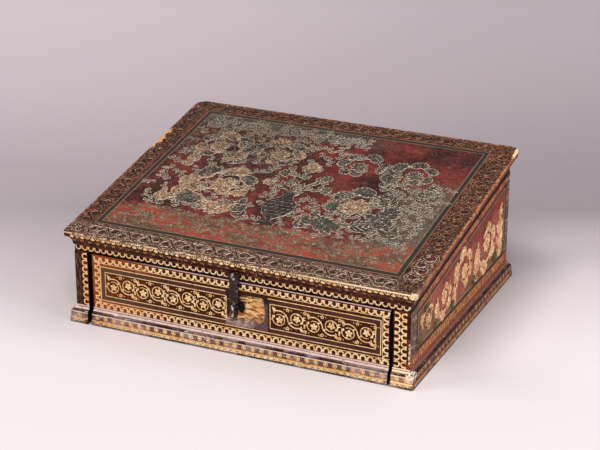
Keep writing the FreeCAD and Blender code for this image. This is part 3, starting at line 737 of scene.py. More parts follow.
def leather_of_base(name, sheen, shade, glint, edge):
    """The base's bands by height: plinth, rosette band, groove, hollow and bead, with a painted sheen and
    painted shade.
    """
    surface = Surface(name)
    rise = surface.z + surface.wander(9, 2, 0.3)
    # Near-black at the foot, in the groove and at the top of the hollow is painted shade; the sheen bands on
    # the band, hollow and bead are a painted sheen.
    stops = [(0, PAINTED_SHADE_BLACK), (2.6, (84, 44, 26)), (PLINTH_TOP - 0.7, edge), (PLINTH_TOP + 0.2, shade),
             (BAND_TOP - 1.4, sheen), (BAND_TOP - 0.2, (26, 8, 5)), (GROOVE_TOP + 0.6, shade),
             (HOLLOW_TOP - 2.8, sheen), (HOLLOW_TOP - 0.9, (30, 10, 6)), (HOLLOW_TOP - 0.2, sheen)]
    rub = surface.patches(size=24, share=0.4)
    scuffs = surface.patches(size=3, share=0.22, blur=0.03, place=surface.stretched(2.5, 2.5, 0.7))
    glints = surface.patches(size=2.4, share=0.12, blur=0.02, place=surface.stretched(3, 3, 0.6))
    corner = surface.chip((CASE_RIGHT + 5, CASE_FRONT - 2, 13), (9, 11, 6))
    crumbs = surface.patches(size=2, blur=0.06)
    chips = surface.patches(size=6, share=0.2, blur=0.04)
    chips = chips * surface.z.step(3.6, 2.6) * surface.z.step(1.2, 1.5)
    colour = surface.coats(
        surface.bands(rise, 22, stops),
        # Patches of painted sheen.
        (rub * 0.3, sheen),
        (scuffs * 0.6, shade),
        (glints * surface.z.step(PLINTH_TOP, PLINTH_TOP + 0.4) * 0.75, glint),
        (corner * crumbs, (255, 242, 218)),
        (chips, (228, 198, 156)),
        (surface.gap_shade(), PAINTED_SHADE_BLACK))
    surface.bump(surface.grain(0.9), 0.25)
    return surface.finish(colour, rub.scaled(0.28, 0.42), specular=0.3)


def walnut(name, dark, light, rough):
    """Old walnut: long fibres along the board and slow bands across it, with painted shade on the edges seen
    through the gaps beside the drawer.
    """
    surface = Surface(name)
    slow = surface.noise(surface.stretched(9, 9, 1), 7, 3, 0.5, 0.8)
    fibre = surface.noise(surface.stretched(30, 30, 1), 0.9, 4, 0.6)
    near_front = surface.y.step(CASE_FRONT + 16, CASE_FRONT + 10)
    colour = surface.coats(
        dark,
        (slow.step(0.35, 0.65), light),
        (fibre.step(0.4, 0.7) * 0.4, dark),
        # Painted shade on the board edges in the gaps beside the drawer.
        (surface.gap_shade() * near_front, PAINTED_SHADE_BLACK))
    surface.bump(fibre, 0.2)
    return surface.finish(colour, slow.scaled(rough, rough + 0.15))


def wood_of_drawer_front():
    """A walnut board whose bared front face is orange, with pale grain, darker to the upper left with a stain
    and painted shadow, a painted shadow beside the hasp's foot, and painted shade at the gaps and under the
    lid.
    """
    surface = Surface("drawer_front_bared_wood")
    fibre = surface.noise(surface.stretched(4.5, 4.5, 1), 1.8, 5, 0.7, 0.6)
    slow = surface.noise(surface.stretched(4, 4, 1), 9, 2)
    # Darker to the upper left: a stain together with painted shadow of the hasp and the torn edge.
    stain_and_shadow = (surface.x - SCAR_LEFT) * -0.06 + (surface.z - SCAR_LOW) * 0.03 + surface.wander(8, 4, 0.7)
    bare = surface.coats(
        (98, 44, 14),
        (fibre.step(0.4, 0.62), (255, 206, 142)),
        (slow.step(0.45, 0.65) * 0.5, (196, 118, 56)),
        (stain_and_shadow.step(-0.5, 0.3), (62, 26, 14)),
        # A near-black spot beside the hasp's lower end: painted shadow of the hasp.
        (surface.chip((SCAR_LEFT + 16, CASE_FRONT, 55), (5, 20, 6.5)), (24, 10, 6)))
    board = surface.mix(slow.step(0.35, 0.65), (74, 46, 28), (112, 72, 44))
    near_front = surface.y.step(CASE_FRONT + 7, CASE_FRONT + 4.5)
    # Painted shade on the top just behind the front, seen through the gap under the lid.
    under_lid = surface.z.step(DRAWER_TOP - 1, DRAWER_TOP - 0.6) * near_front
    colour = surface.coats(
        board,
        (surface.y.step(CASE_FRONT + 2.5, CASE_FRONT + 1.5), bare),
        (surface.gap_shade().larger(under_lid), PAINTED_SHADE_BLACK))
    surface.bump(fibre, 0.5, 0.7)
    return surface.finish(colour, fibre.scaled(0.6, 0.8))


def lining_paper():
    """Aged cream laid paper with faint lines and brown foxing."""
    surface = Surface("lining_laid_paper")
    waves = {"Vector": surface.place, "Scale": 0.22, "Distortion": 0.6}
    laid = surface.wire("ShaderNodeTexWave", waves, "Fac")
    foxing = surface.patches(size=9, share=0.18, blur=0.08)
    aged = surface.patches(size=70, blur=0.2)
    colour = surface.coats(
        (206, 188, 154),
        (aged, (186, 164, 128)),
        (laid * 0.15, (170, 148, 112)),
        (foxing * 0.45, (140, 100, 62)))
    surface.bump(laid + surface.noise(surface.place, 3), 0.06)
    return surface.finish(colour, aged.scaled(0.78, 0.9))


def wrought_iron():
    """Blackened iron, hammered, with bright rubbed specks, a little rust, and a painted highlight down the
    middle of the hasp and on its knuckle.
    """
    surface = Surface("wrought_iron")
    hammer = surface.noise(surface.place, 4, 3, 0.5)
    rust = surface.patches(size=3, share=0.4, blur=0.08)
    rubbed = surface.patches(size=2.6, share=0.07, blur=0.06)
    off_middle = abs(surface.x - (low("hasp").x + high("hasp").x) / 2)
    # A painted highlight down the hasp's middle, on its lower part and its knuckle, broken by the hammering.
    hasp_highlight = surface.z.step(62, 56).larger(surface.z.step(86, 89)) * off_middle.step(1.9, 0.5)
    colour = surface.coats(
        (40, 33, 32),
        (rust * 0.7, (62, 42, 34)),
        (rubbed, (186, 172, 164)),
        (hasp_highlight * hammer.step(0.42, 0.52), (232, 228, 226)))
    surface.bump(hammer, 0.3, 0.4)
    return surface.finish(colour, rust.scaled(0.2, 0.4), metallic=rust.scaled(0.8, 0.3), specular=0.5)


def shaded_on_lid(surface, colour, share, on_lid):
    """Darkens a lid's paint or gold at the upper left."""
    return surface.mix(surface.dark_end() * share, colour, (48, 36, 32)) if on_lid else colour


def gilding(name, bright, dull, ground, kept_share, on_lid=False, dull_left=0):
    """Leaf or shell gold over raised work: bright on what is kept, rubbed to its ground elsewhere."""
    surface = Surface(name, on_lid)
    tone = surface.patches(size=5, share=0.42, blur=0.14)
    fine = surface.patches(size=1.6, share=0.2, blur=0.05)
    lost = surface.patches(size=7.5, share=1 - kept_share, blur=0.05).larger(fine * 0.8)
    colour = surface.coats(
        bright,
        (tone.larger(surface.x.step(-60, -170) * dull_left), dull),
        (lost * 0.85, ground))
    colour = shaded_on_lid(surface, colour, 0.32, on_lid)
    surface.bump(surface.noise(surface.place, 0.8, 2), 0.12, 0.6)
    return surface.finish(colour, tone.scaled(0.3, 0.45), metallic=(1 - lost) * 0.25, specular=0.4)


def paint(name, main, light, dark, speck=2.4, on_lid=True, patch=16):
    """Old tempera: a main tone with lighter and darker flecks, rubbed thin."""
    surface = Surface(name, on_lid)
    broad = surface.patches(size=patch, blur=0.12)
    flecks = surface.patches(size=speck, share=0.3, blur=0.06)
    holes = surface.patches(size=speck, share=0.3, blur=0.06,
                            place=surface.mapped(surface.place, Location=(31, 17, 5)))
    colour = surface.coats(main, (broad * 0.55, dark), (flecks * 0.8, light), (holes * 0.8, dark))
    colour = shaded_on_lid(surface, colour, 0.3, on_lid)
    surface.bump(surface.noise(surface.place, 1.2, 3), 0.2, 0.6)
    return surface.finish(colour, broad.scaled(0.45, 0.6), specular=0.12)


def torn_leather():
    """The raw, greyed underside of the torn cover, darker up its right side and along its top, and near-black
    at the very top as a painted shadow.
    """
    surface = Surface("torn_leather_flap")
    fibre = surface.noise(surface.stretched(3, 1, 1), 1.6, 4, 0.65)
    to_right = (surface.x + surface.wander(7, 3, 12)).step(16, 24)
    colour = surface.coats(
        (108, 80, 74),
        (fibre.step(0.35, 0.68), (190, 164, 158)),
        (to_right.larger(surface.z.step(44, 48)) * 0.85, (72, 46, 46)),
        # Near-black along the very top: a painted shadow under the torn top edge.
        (surface.z.step(62, 66), (32, 16, 12)))
    surface.bump(fibre, 0.4, 0.8)
    return surface.finish(colour, fibre.scaled(0.6, 0.8))


# ---------------------------------------------------------------- raised work

SUNK = 0.05
SHOULDER = 0.55
MIDRIB = 0.55
GOLD_HEIGHT = 0.22


def rectangle(left, right, bottom, top):
    """A rectangle's four corners in turn."""
    return [(left, bottom), (right, bottom), (right, top), (left, top)]


def sides_of(corners):
    """The sides of a closed outline, each as its start and its end."""
    return list(zip(corners, corners[1:] + corners[:1]))


def skin(first, rings, size, closed=False):
    """Faces between rings of points, which stand one after another from an index on."""
    faces = []
    for ring in range(rings if closed else rings - 1):
        here = first + size * ring
        there = first + size * ((ring + 1) % rings)
        for side in range(size):
            other = (side + 1) % size
            faces.append((here + side, here + other, there + other, there + side))
    return faces


class Relief:
    """Raised work drawn in millimetres: each stroke, leaf and boss is a closed shell."""

    def __init__(self):
        self.points = []
        self.faces = []

    def add(self, points, faces):
        start = len(self.points)
        self.points.extend(points)
        self.faces.extend(tuple(start + index for index in face) for face in faces)

    def stroke(self, line, width, height=GOLD_HEIGHT, closed=False):
        """A stroke with a ridge along its middle. The width is one number, or a list along the line."""
        widths = width if isinstance(width, list) else [width] * len(line)
        points = []
        for (u, v), (across_u, across_v), wide in zip(line, sideways(line, closed), widths):
            half = wide / 2
            points.append((u + across_u * half, v + across_v * half, -SUNK))
            points.append((u, v, height))
            points.append((u - across_u * half, v - across_v * half, -SUNK))
        faces = skin(0, len(line), 3, closed)
        if not closed:
            last = len(points) - 3
            faces += [(0, 2, 1), (last, last + 1, last + 2)]
        self.add(points, faces)

    def leaf(self, spine, width, height=GOLD_HEIGHT):
        """A pointed leaf along a spine, with full shoulders and a sunk midrib."""
        stations = list(zip(spine, sideways(spine), leaf_halves(len(spine), width)))
        points = [(*spine[0], 0.0)]
        for (u, v), (across_u, across_v), half in stations[1:-1]:
            for share, rise in ((1, -SUNK), (SHOULDER, height), (0, height * MIDRIB), (-SHOULDER, height),
                                (-1, -SUNK)):
                points.append((u + across_u * half * share, v + across_v * half * share, rise))
        tip = len(points)
        last = tip - 5
        points.append((*spine[-1], 0.0))
        faces = [(0, 2 + side, 1 + side) for side in range(4)] + [(0, 1, 5)] + skin(1, len(spine) - 2, 5)
        faces += [(last + side, last + side + 1, tip) for side in range(4)] + [(last + 4, last, tip)]
        self.add(points, faces)

    def boss(self, centre, radius, height=GOLD_HEIGHT, sides=8):
        """A round boss: its foot, its shoulder and its crown."""
        foot = [along(centre, 360 * side / sides, radius) for side in range(sides)]
        shoulder = [along(centre, 360 * side / sides, 0.68 * radius) for side in range(sides)]
        points = [(*place, -SUNK) for place in foot] + [(*place, 0.75 * height) for place in shoulder]
        faces = [tuple(reversed(range(sides)))] + skin(0, 2, sides)
        faces += [(sides + side, sides + (side + 1) % sides, 2 * sides) for side in range(sides)]
        self.add(points + [(*centre, height)], faces)

    def petals(self, centre, count, inner, outer, width, turn=0.0, height=GOLD_HEIGHT):
        """Short leaves set about a centre."""
        for index in range(count):
            heading = turn + 360 * index / count
            root, tip = [along(centre, heading, reach) for reach in (inner, outer)]
            self.leaf(straight(root, tip, 5), width, height)

    def slab(self, corners, height):
        """A low flat block over four corners."""
        points = [(u, v, -SUNK) for u, v in corners] + [(u, v, height) for u, v in corners]
        self.add(points, [(3, 2, 1, 0), (4, 5, 6, 7)] + skin(0, 2, 4))

    def mesh(self, name, face):
        """The raised work set onto a face of the box."""
        made = bpy.data.meshes.new(name)
        made.from_pydata([face.point(*point) for point in self.points], [], self.faces)
        made.validate()
        return made


def sideways(line, closed=False):
    """The leftward direction at each point of a line."""
    count = len(line)
    result = []
    for index in range(count):
        before = line[index - 1] if closed or index else line[0]
        after = line[(index + 1) % count] if closed or index < count - 1 else line[-1]
        run_u, run_v = after[0] - before[0], after[1] - before[1]
        length = math.hypot(run_u, run_v) or 1.0
        result.append((-run_v / length, run_u / length))
    return result


def beside(line, distances):
    """A line that keeps beside another, by a list of distances to its left."""
    return [(u + a * away, v + b * away) for (u, v), (a, b), away in zip(line, sideways(line), distances)]


def leaf_halves(count, width):
    """Half the leaf's width at each station of its spine."""
    return [width / 2 * math.sin(math.pi * (index / (count - 1)) ** 0.8) for index in range(count)]


def along(point, heading, distance):
    """The point reached from another by a heading in degrees and a distance."""
    angle = math.radians(heading)
    return (point[0] + math.cos(angle) * distance, point[1] + math.sin(angle) * distance)


def heading_at(line, index):
    """Which way a line runs on from one of its points, in degrees."""
    (u, v), (next_u, next_v) = line[index:index + 2]
    return math.degrees(math.atan2(next_v - v, next_u - u))


def straight(start, end, count):
    """Even points from one place to another."""
    return [(start[0] + (end[0] - start[0]) * index / (count - 1),
             start[1] + (end[1] - start[1]) * index / (count - 1)) for index in range(count)]


def arc(centre, radius, start, end, count):
    """Points along an arc, by angles in degrees."""
    return [along(centre, start + (end - start) * index / (count - 1), radius) for index in range(count)]


def bent(start, heading, length, bend, count=6):
    """A line that sets off on a heading and turns evenly by bend degrees over its length."""
    points = [start]
    step = length / (count - 1)
    for index in range(count - 1):
        points.append(along(points[-1], heading + bend * (index + 0.5) / (count - 1), step))
    return points


def volute(centre, outer, inner, start, sweep, count):
    """A spiral about a centre, from the outer radius to the inner one."""
    points = []
    for index in range(count):
        share = index / (count - 1)
        radius = outer + (inner - outer) * share ** 0.8
        points.append(along(centre, start + sweep * share, radius))
    return points


def tapered(count, thick, thin):
    """Widths that fall off evenly along a line."""
    return [thick + (thin - thick) * index / (count - 1) for index in range(count)]


# ---------------------------------------------------------------- rows and scatters of stamps

LIFT = 0.012            # metres off the carrier, from where a stamp is pressed onto it
DENSEST = 1.0e5         # more spots for each square metre than the spacing lets in
LEAST_SIZE = 0.7        # of a strewn stamp, as a share of its full size


def make_stamped_row():
    """Even copies of a stamp along a line, each pressed onto the carrier and turned to its surface."""
    inputs = {"Carrier": "Object", "Stamp": "Object", "Start": "Vector", "End": "Vector", "Outward": "Vector",
              "Copies": "Int", "Kept share": "Float", "Wobble": "Float", "Seed": "Int", "Finish": "Material"}
    bench, given, result = new_group("stamped_row", "GeometryNodeTree", inputs, ("Row", "Geometry"))
    span = {"Count": given["Copies"], "Start Location": given["Start"], "Offset": given["End"]}
    line = bench.wire("GeometryNodeMeshLine", span, mode="END_POINTS")
    run = bench.vector("SUBTRACT", given["End"], given["Start"])
    slip = bench.chance(given["Seed"], -1.0) * given["Wobble"]
    shift = bench.vector("SCALE", bench.vector("NORMALIZE", run), slip)
    moved = bench.wire("GeometryNodeSetPosition", {"Geometry": line, "Offset": shift})
    carrier = bench.wire("GeometryNodeObjectInfo", {"Object": given["Carrier"]}, "Geometry")
    above = bench.vector("ADD", bench.wire("GeometryNodeInputPosition"),
                         bench.vector("SCALE", given["Outward"], LIFT))
    inward = bench.vector("SCALE", given["Outward"], -1.0)
    ray = {"Target Geometry": carrier, "Source Position": above, "Ray Direction": inward,
           "Ray Length": 2 * LIFT}
    hit, spot, normal = bench.wires("GeometryNodeRaycast", ray, ["Is Hit", "Hit Position", "Hit Normal"])
    seated = bench.wire("GeometryNodeSetPosition", {"Geometry": moved, "Selection": hit, "Position": spot})
    facing = bench.wire("FunctionNodeAlignRotationToVector", {"Vector": normal}, axis="Z")
    turned = bench.wire("FunctionNodeAlignRotationToVector", {"Rotation": facing, "Vector": run},
                        axis="X", pivot_axis="Z")
    likely = {"Probability": given["Kept share"], "Seed": given["Seed"]}
    kept = bench.wire("FunctionNodeRandomValue", likely, 3, data_type="BOOLEAN")
    used = bench.wire("FunctionNodeBooleanMath", {0: kept, 1: hit}, operation="AND")
    stamp = bench.wire("GeometryNodeObjectInfo", {"Object": given["Stamp"]}, "Geometry")
    copies = {"Points": seated, "Selection": used, "Instance": stamp, "Rotation": turned}
    return dressed_copies(bench, copies, given["Finish"], result)


def make_scattered():
    """Stamps strewn over a strip of surface, no closer than a spacing and turned at random."""
    inputs = {"Strip": "Geometry", "Stamps": "Collection", "Spacing": "Float", "Least size": "Float",
              "Turn": "Float", "Seed": "Int", "Finish": "Material"}
    bench, given, result = new_group("scattered_stamps", "GeometryNodeTree", inputs, ("Strewn", "Geometry"))
    spots = {"Mesh": given["Strip"], "Distance Min": given["Spacing"], "Density Max": DENSEST,
             "Seed": given["Seed"]}
    points, rotation = bench.wires("GeometryNodeDistributePointsOnFaces", spots, ["Points", "Rotation"],
                                   distribute_method="POISSON")
    separate = {"Collection": given["Stamps"], "Separate Children": True, "Reset Children": True}
    stamps = bench.wire("GeometryNodeCollectionInfo", separate)
    half_turn = given["Turn"] * 0.5
    spin = bench.chance(given["Seed"], half_turn * -1.0, half_turn)
    about = bench.wire("ShaderNodeCombineXYZ", {"Z": spin})
    turned = bench.wire("FunctionNodeRotateRotation", {"Rotation": rotation, "Rotate By": about},
                        rotation_space="LOCAL")
    size = bench.chance(given["Seed"], given["Least size"])
    copies = {"Points": points, "Instance": stamps, "Pick Instance": True, "Rotation": turned, "Scale": size}
    return dressed_copies(bench, copies, given["Finish"], result)


def dressed_copies(bench, copies, finish, result):
    """Ends a tree: its instances are made real and given their finish."""
    instances = bench.wire("GeometryNodeInstanceOnPoints", copies)
    solid = bench.wire("GeometryNodeRealizeInstances", {"Geometry": instances})
    bench.plug(bench.wire("GeometryNodeSetMaterial", {"Geometry": solid, "Material": finish}), result)
    return bench.tree


def run_tree(tree, mesh, inputs):
    """Runs a tree on a mesh with the given inputs, and returns the plain mesh that comes out."""
    host = placed("host", mesh)
    modifier = host.modifiers.new("tree", "NODES")
    modifier.node_group = tree
    sockets = {item.name: item.identifier for item in tree.interface.items_tree if item.in_out == "INPUT"}
    for name, value in inputs.items():
        modifier[sockets[name]] = value
    depsgraph = bpy.context.evaluated_depsgraph_get()
    result = bpy.data.meshes.new_from_object(host.evaluated_get(depsgraph), depsgraph=depsgraph)
    host.modifiers.remove(modifier)
    bpy.data.objects.remove(host)
    return result


STAMPED_ROW = make_stamped_row()
SCATTERED = make_scattered()


def stamp_object(name, relief):
    """A stamp at the origin, flat in X and Y with its face up."""
    return bpy.data.objects.new(name, relief.mesh(name, GROUND))


def flat_mesh(name, corners, face):
    """A flat sheet over four corners on a face."""
    mesh = bpy.data.meshes.new(name)
    mesh.from_pydata([face.point(*corner) for corner in corners], [], [(0, 1, 2, 3)])
    return mesh


class Piece:
    """Meshes gathered into one piece of the model that rides on one body."""

    def __init__(self, name, body, finish, slot="tooled_leather"):
        self.name = name
        self.body = body
        self.slot = slot
        self.finish = finish
        self.meshes = []

    def row(self, carrier, stamp, start, end, copies, outward, seed=0, kept=1.0, wobble=0.1):
        """A stamped row between two places in millimetres, over a node that carries it."""
        inputs = {"Carrier": NODES[carrier], "Stamp": stamp, "Start": Vector(start) * MM,
                  "End": Vector(end) * MM, "Outward": outward, "Copies": copies, "Kept share": kept,
                  "Wobble": wobble * MM, "Seed": seed, "Finish": self.finish}
        self.meshes.append(run_tree(STAMPED_ROW, bpy.data.meshes.new("row"), inputs))

    def strew(self, stamps, strip, spacing, turn, seed):
        """Stamps strewn over a strip of the lid, given as its left, right, bottom and top."""
        inputs = {"Stamps": stamps, "Spacing": spacing * MM, "Least size": LEAST_SIZE, "Turn": turn,
                  "Seed": seed, "Finish": self.finish}
        self.meshes.append(run_tree(SCATTERED, flat_mesh("strip", rectangle(*strip), LID_TOP), inputs))

    def relief(self, relief, face):
        self.meshes.append(relief.mesh(self.name, face))

    def done(self):
        """Joins the meshes, dresses the piece and sets it on its body."""
        points, faces = [], []
        for mesh in self.meshes:
            start = len(points)
            points.extend(vertex.co[:] for vertex in mesh.vertices)
            faces.extend([start + index for index in face.vertices] for face in mesh.polygons)
            bpy.data.meshes.remove(mesh)
        joined = bpy.data.meshes.new(self.name)
        joined.from_pydata(points, [], faces)
        joined.materials.append(self.finish)
        made = placed(self.name, joined)
        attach(made, self.body)


def relief_piece(name, body, finish, relief, face, slot="tooled_leather"):
    """A piece that is one relief on one face."""
    piece = Piece(name, body, finish, slot)
    piece.relief(relief, face)
    piece.done()


# ---------------------------------------------------------------- stamps for the gilt rows

def scallop_stamp(name, pitch, depth, thick, bar=False):
    """A U-shaped arch, open at the top, whose arms thicken to meet their neighbours', perhaps over a bar."""
    relief = Relief()
    radius = (pitch - thick) / 2
    centre_v = radius + thick / 2 - depth / 2
    line = [(-radius, depth / 2)] + arc((0, centre_v), radius, 180, 360, 9) + [(radius, depth / 2)]
    relief.stroke(line, [1.7 * thick] + [thick] * 9 + [1.7 * thick])
    if bar:
        foot = -depth / 2 - 0.2
        relief.stroke([(-pitch / 2, foot), (0, foot), (pitch / 2, foot)], 0.9)
    return stamp_object(name, relief)


VINE_RING = 8.0
VINE_DROP = 1.7
VINE_THICK = 1.3


def vine_stamp(name, pitch):
    """Two flowers in coiled rings, one low and one high, joined by a waving stem with leafy ends."""
    relief = Relief()
    low_centre = (-pitch / 4, -VINE_DROP)
    high_centre = (pitch / 4, VINE_DROP)
    reach = math.hypot(pitch / 2, 2 * VINE_DROP) / 2
    lean = math.degrees(math.atan2(2 * VINE_DROP, pitch / 2))
    stem = arc(low_centre, reach, 118, lean, 11) + arc(high_centre, reach, 180 + lean, 298, 11)[1:]
    relief.stroke(stem, VINE_THICK * 1.25)
    for end, heading in ((stem[0], 150), (stem[-1], -30)):
        relief.leaf(bent(end, heading, 6.0, -70), 2.4)
        relief.leaf(bent(end, heading - 70, 4.6, 60, 5), 1.8)
    coil_vine(relief, low_centre, 1)
    coil_vine(relief, high_centre, -1)
    for u in (0.0, pitch / 2):
        for v in (10.9, -10.4):
            relief.petals((u, v), 5, 0.5, 2.6, 1.7, 18)
            relief.boss((u - 4.2, v * 1.03), 0.7, sides=6)
            relief.boss((u + 4.2, v * 1.03), 0.7, sides=6)
    for v in (5.8, -5.8):
        relief.boss((pitch / 2, v), 0.8, sides=6)
        relief.boss((-pitch / 4 - v * 1.3, v * 2.0), 0.8, sides=6)
    relief.leaf(bent((pitch / 2 - 1.2, 1.5), 125, 6.0, -80), 2.0)
    relief.leaf(bent((pitch / 2 - 1.2, -1.5), -55, 6.0, -80), 2.0)
    return stamp_object(name, relief)


def coil_vine(relief, centre, hand):
    """One coiled ring of the vine, with its flower, and leaves inside and outside it."""
    up = 90 * hand
    coil = volute(centre, VINE_RING, VINE_RING - 2.2, up + 60, 330, 19)
    relief.stroke(coil, tapered(19, VINE_THICK * 1.1, VINE_THICK * 0.7))
    bloom = along(centre, -50 * hand, 0.8)
    relief.boss(bloom, 1.2, GOLD_HEIGHT * 1.3, 6)
    relief.petals(bloom, 5, 0.7, 4.8, 3.2, up)
    for heading, hook, reach, width in ((50, -110, 4.6, 1.9), (-40, 180, 3.8, 1.6), (150, -70, 3.4, 1.4)):
        root = along(centre, up + heading, VINE_RING - 0.6)
        relief.leaf(bent(root, up + heading + 180 + hook * 0.3, reach, hook * 0.7), width)
    for heading in (15, 75, -75):
        root = along(centre, up + heading + 20, VINE_RING + 0.3)
        relief.leaf(bent(root, up + heading + 50, 3.2, -60, 5), 1.4)


def rosette_stamp(name, radius):
    """A ring about a round flower."""
    relief = Relief()
    relief.stroke(arc((0, 0), radius - 0.45, 0, 360, 13)[:-1], 0.9, closed=True)
    relief.boss((0, 0), radius * 0.52, GOLD_HEIGHT * 1.4)
    return stamp_object(name, relief)


def floret_stamp(name, radius):
    """Five small petals."""
    relief = Relief()
    relief.petals((0, 0), 5, 0.3, radius, radius * 0.75, 90, height=0.12)
    return stamp_object(name, relief)


def lozenge_stamp(name, pitch, depth):
    """Two crossing waves of a plait, with a pearl in each gap."""
    relief = Relief()
    shares = [index / 8 - 0.5 for index in range(9)]
    for crest in (depth / 2, -depth / 2):
        relief.stroke([(pitch * share, crest * math.cos(2 * math.pi * share)) for share in shares], 1.15)
    relief.boss((0, 0), 1.0, sides=6)
    return stamp_object(name, relief)


def palmette_stamp(name, pitch, depth):
    """A fan of five leaves, and a swag with its pearl to the right of it."""
    relief = Relief()
    for lean in (-60, -30, 0, 30, 60):
        reach = depth * (0.95 - abs(lean) * 0.003)
        relief.leaf(bent((0, -depth / 2 + 0.2), 90 - lean, reach, 0, 5), 1.35, 0.2)
    relief.stroke(arc((pitch / 2, depth / 2), depth * 0.72, 185, 355, 8), 1.0, 0.2)
    relief.boss((pitch / 2, depth * 0.14), 0.95, 0.2, 6)
    return stamp_object(name, relief)


# ---------------------------------------------------------------- the drawer

def even_copies(length, pitch):
    """How many stamps of a pitch fill a length."""
    return max(2, round(length / pitch) + 1)


SCALLOP_PITCH = 8.5
SCALLOP_DEPTH = 6.4
SCALLOP_TOP = 78.6
SCALLOP_FOOT = 24.2
SCALLOP_LEFT = -172.0
SCALLOP_RIGHT = 172.6
VINE_MARGIN = 0.6


def gild_drawer(gold):
    """The drawer's scalloped border, its fine lines and its two vine panels."""
    arch = scallop_stamp("drawer_scallop", SCALLOP_PITCH, SCALLOP_DEPTH, 2.1, bar=True)
    border = Piece("drawer_front_scallops", "drawer", gold)
    clockwise = rectangle(SCALLOP_LEFT, SCALLOP_RIGHT, SCALLOP_TOP, SCALLOP_FOOT)
    for side, ends in enumerate(sides_of(clockwise)):
        begin, finish = [Vector((u, CASE_FRONT, v)) for u, v in ends]
        upright = side % 2
        inset = (finish - begin).normalized() * SCALLOP_PITCH / 2 * upright
        copies = even_copies((finish - begin).length, SCALLOP_PITCH) - upright
        border.row("drawer_front_leather", arch, begin + inset, finish - inset, copies, -Y_AXIS, seed=side)
    border.done()

    lines = Relief()
    for panel in (LEFT_PANEL, RIGHT_PANEL):
        frame_line(lines, rectangle(*panel, PANEL_LOW, PANEL_HIGH), 1.1)
    frame_line(lines, rectangle(LEFT_PANEL[0] - BAND_WIDTH, RIGHT_PANEL[1] + BAND_WIDTH,
                                PANEL_LOW - BAND_WIDTH, PANEL_HIGH + BAND_WIDTH), 1.2)
    relief_piece("drawer_front_gilt_lines", "drawer", gold, lines, FRONT)

    vines = Piece("drawer_front_vines", "drawer", gold)
    middle = (PANEL_LOW + PANEL_HIGH) / 2
    for (left, right), units in ((LEFT_PANEL, 4), (RIGHT_PANEL, 3)):
        pitch = (right - left - 2 * VINE_MARGIN) / units
        inset = VINE_MARGIN + pitch / 2
        vines.row("drawer_front_leather", vine_stamp("vine_unit", pitch), (left + inset, CASE_FRONT, middle),
                  (right - inset, CASE_FRONT, middle), units, -Y_AXIS, wobble=0.0)
    vines.done()


def frame_line(relief, corners, width):
    """A thin frame of four strokes, in short steps so that each side stays straight."""
    for start, end in sides_of(corners):
        relief.stroke(straight(start, end, 3), width)


def torn_edge(start, end, inward, count, reach):
    """Stations along a torn edge: each has its base, the way to its free edge and how far that is."""
    bases = straight(start, end, count)
    return [(base, inward, reach(index / (count - 1))) for index, base in enumerate(bases)]


def reach_of_foot(share):
    """How far the flap reaches, by the share of its length."""
    return 9.6 - 3.6 * abs(share - 0.75) + 3.2 * math.sin(share * 23.0) * random.uniform(0.3, 1.0)


def reach_of_side(share):
    """How far the strip up the right side reaches."""
    return 4.0 + 1.0 * math.cos(share * 6.0) + 0.6 * random.random()


def reach_of_top(share):
    """How far the strip along the top reaches."""
    return 1.4 + 10.0 * max(0.0, 0.5 - share) + 4.5 * max(0.0, share - 0.8) + 0.7 * random.random()


COVER_THICKNESS = 0.6


def tear_lock_patch(leather):
    """Torn edges of the cover about the bared wood: a wide flap along its foot, narrow strips elsewhere."""
    random.seed(7)
    left = SCAR_LEFT - 2.0
    right = SCAR_RIGHT + 3.0
    head = SCAR_HIGH + 0.6
    foot = torn_edge((left, 32.0), (right, 32.0), (0.1, 1.0), 30, reach_of_foot)
    side = torn_edge((right, 36.0), (right, SCAR_HIGH - 1.0), (-1.0, 0.15), 22, reach_of_side)
    top = torn_edge((left, head), (right, head), (0.0, -1.0), 22, reach_of_top)
    points, faces = [], []
    for stations in (foot, side, top[::-1]):
        curled_strip(points, faces, stations)
    mesh = bpy.data.meshes.new("lock_patch_torn_leather")
    mesh.from_pydata(points, [], faces)
    mesh.materials.append(leather)
    flap = placed("lock_patch_torn_leather", mesh)
    wall = flap.modifiers.new("thickness", "SOLIDIFY")
    wall.thickness = COVER_THICKNESS * MM
    wall.offset = -1.0
    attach(flap, "drawer")


def curled_strip(points, faces, stations, rows=6):
    """Adds a curled strip of torn cover, from its bases to its free edge."""
    start = len(points)
    for number, ((u, v), (aside_u, aside_v), reach) in enumerate(stations):
        for row in range(rows):
            share = row / (rows - 1)
            lift = 0.2 + 1.4 * math.sin(math.pi * share * 0.9) * (0.7 + 0.3 * math.sin(number * 0.9))
            points.append(FRONT.point(u + aside_u * reach * share, v + aside_v * reach * share, lift))
    for number in range(len(stations) - 1):
        for row in range(rows - 1):
            here = start + number * rows + row
            faces.append((here, here + rows, here + rows + 1, here + 1))


SPLINTERS = 120


def splinter_scar(wood):
    """Splinters that stand off the bared wood, along its grain."""
    random.seed(19)
    relief = Relief()
    for _ in range(SPLINTERS):
        length = random.uniform(5.0, 17.0)
        u = random.uniform(SCAR_LEFT + 0.5, SCAR_RIGHT - length)
        v = random.uniform(SCAR_LOW + 1.5, SCAR_HIGH - 1.2)
        spine = bent((u, v), random.uniform(-5, 5), length, random.uniform(-6, 6), 5)
        relief.leaf(spine, random.uniform(0.7, 2.0), random.uniform(0.15, 0.6))
    bared = Face((0, low("drawer_front").y, 0), X_AXIS, Z_AXIS)
    relief_piece("drawer_front_splinters", "drawer", wood, relief, bared, "walnut")


# ---------------------------------------------------------------- the case

PILASTER_PITCH = 8.0
TWIN_REACH = 3.4        # of each twin row's line, from the middle between them
ARCH_PITCH = 6.2
ARCH_HEIGHT = 27.4
ROSETTE_PITCH = 10.7
PLAIT_PITCH = 7.4


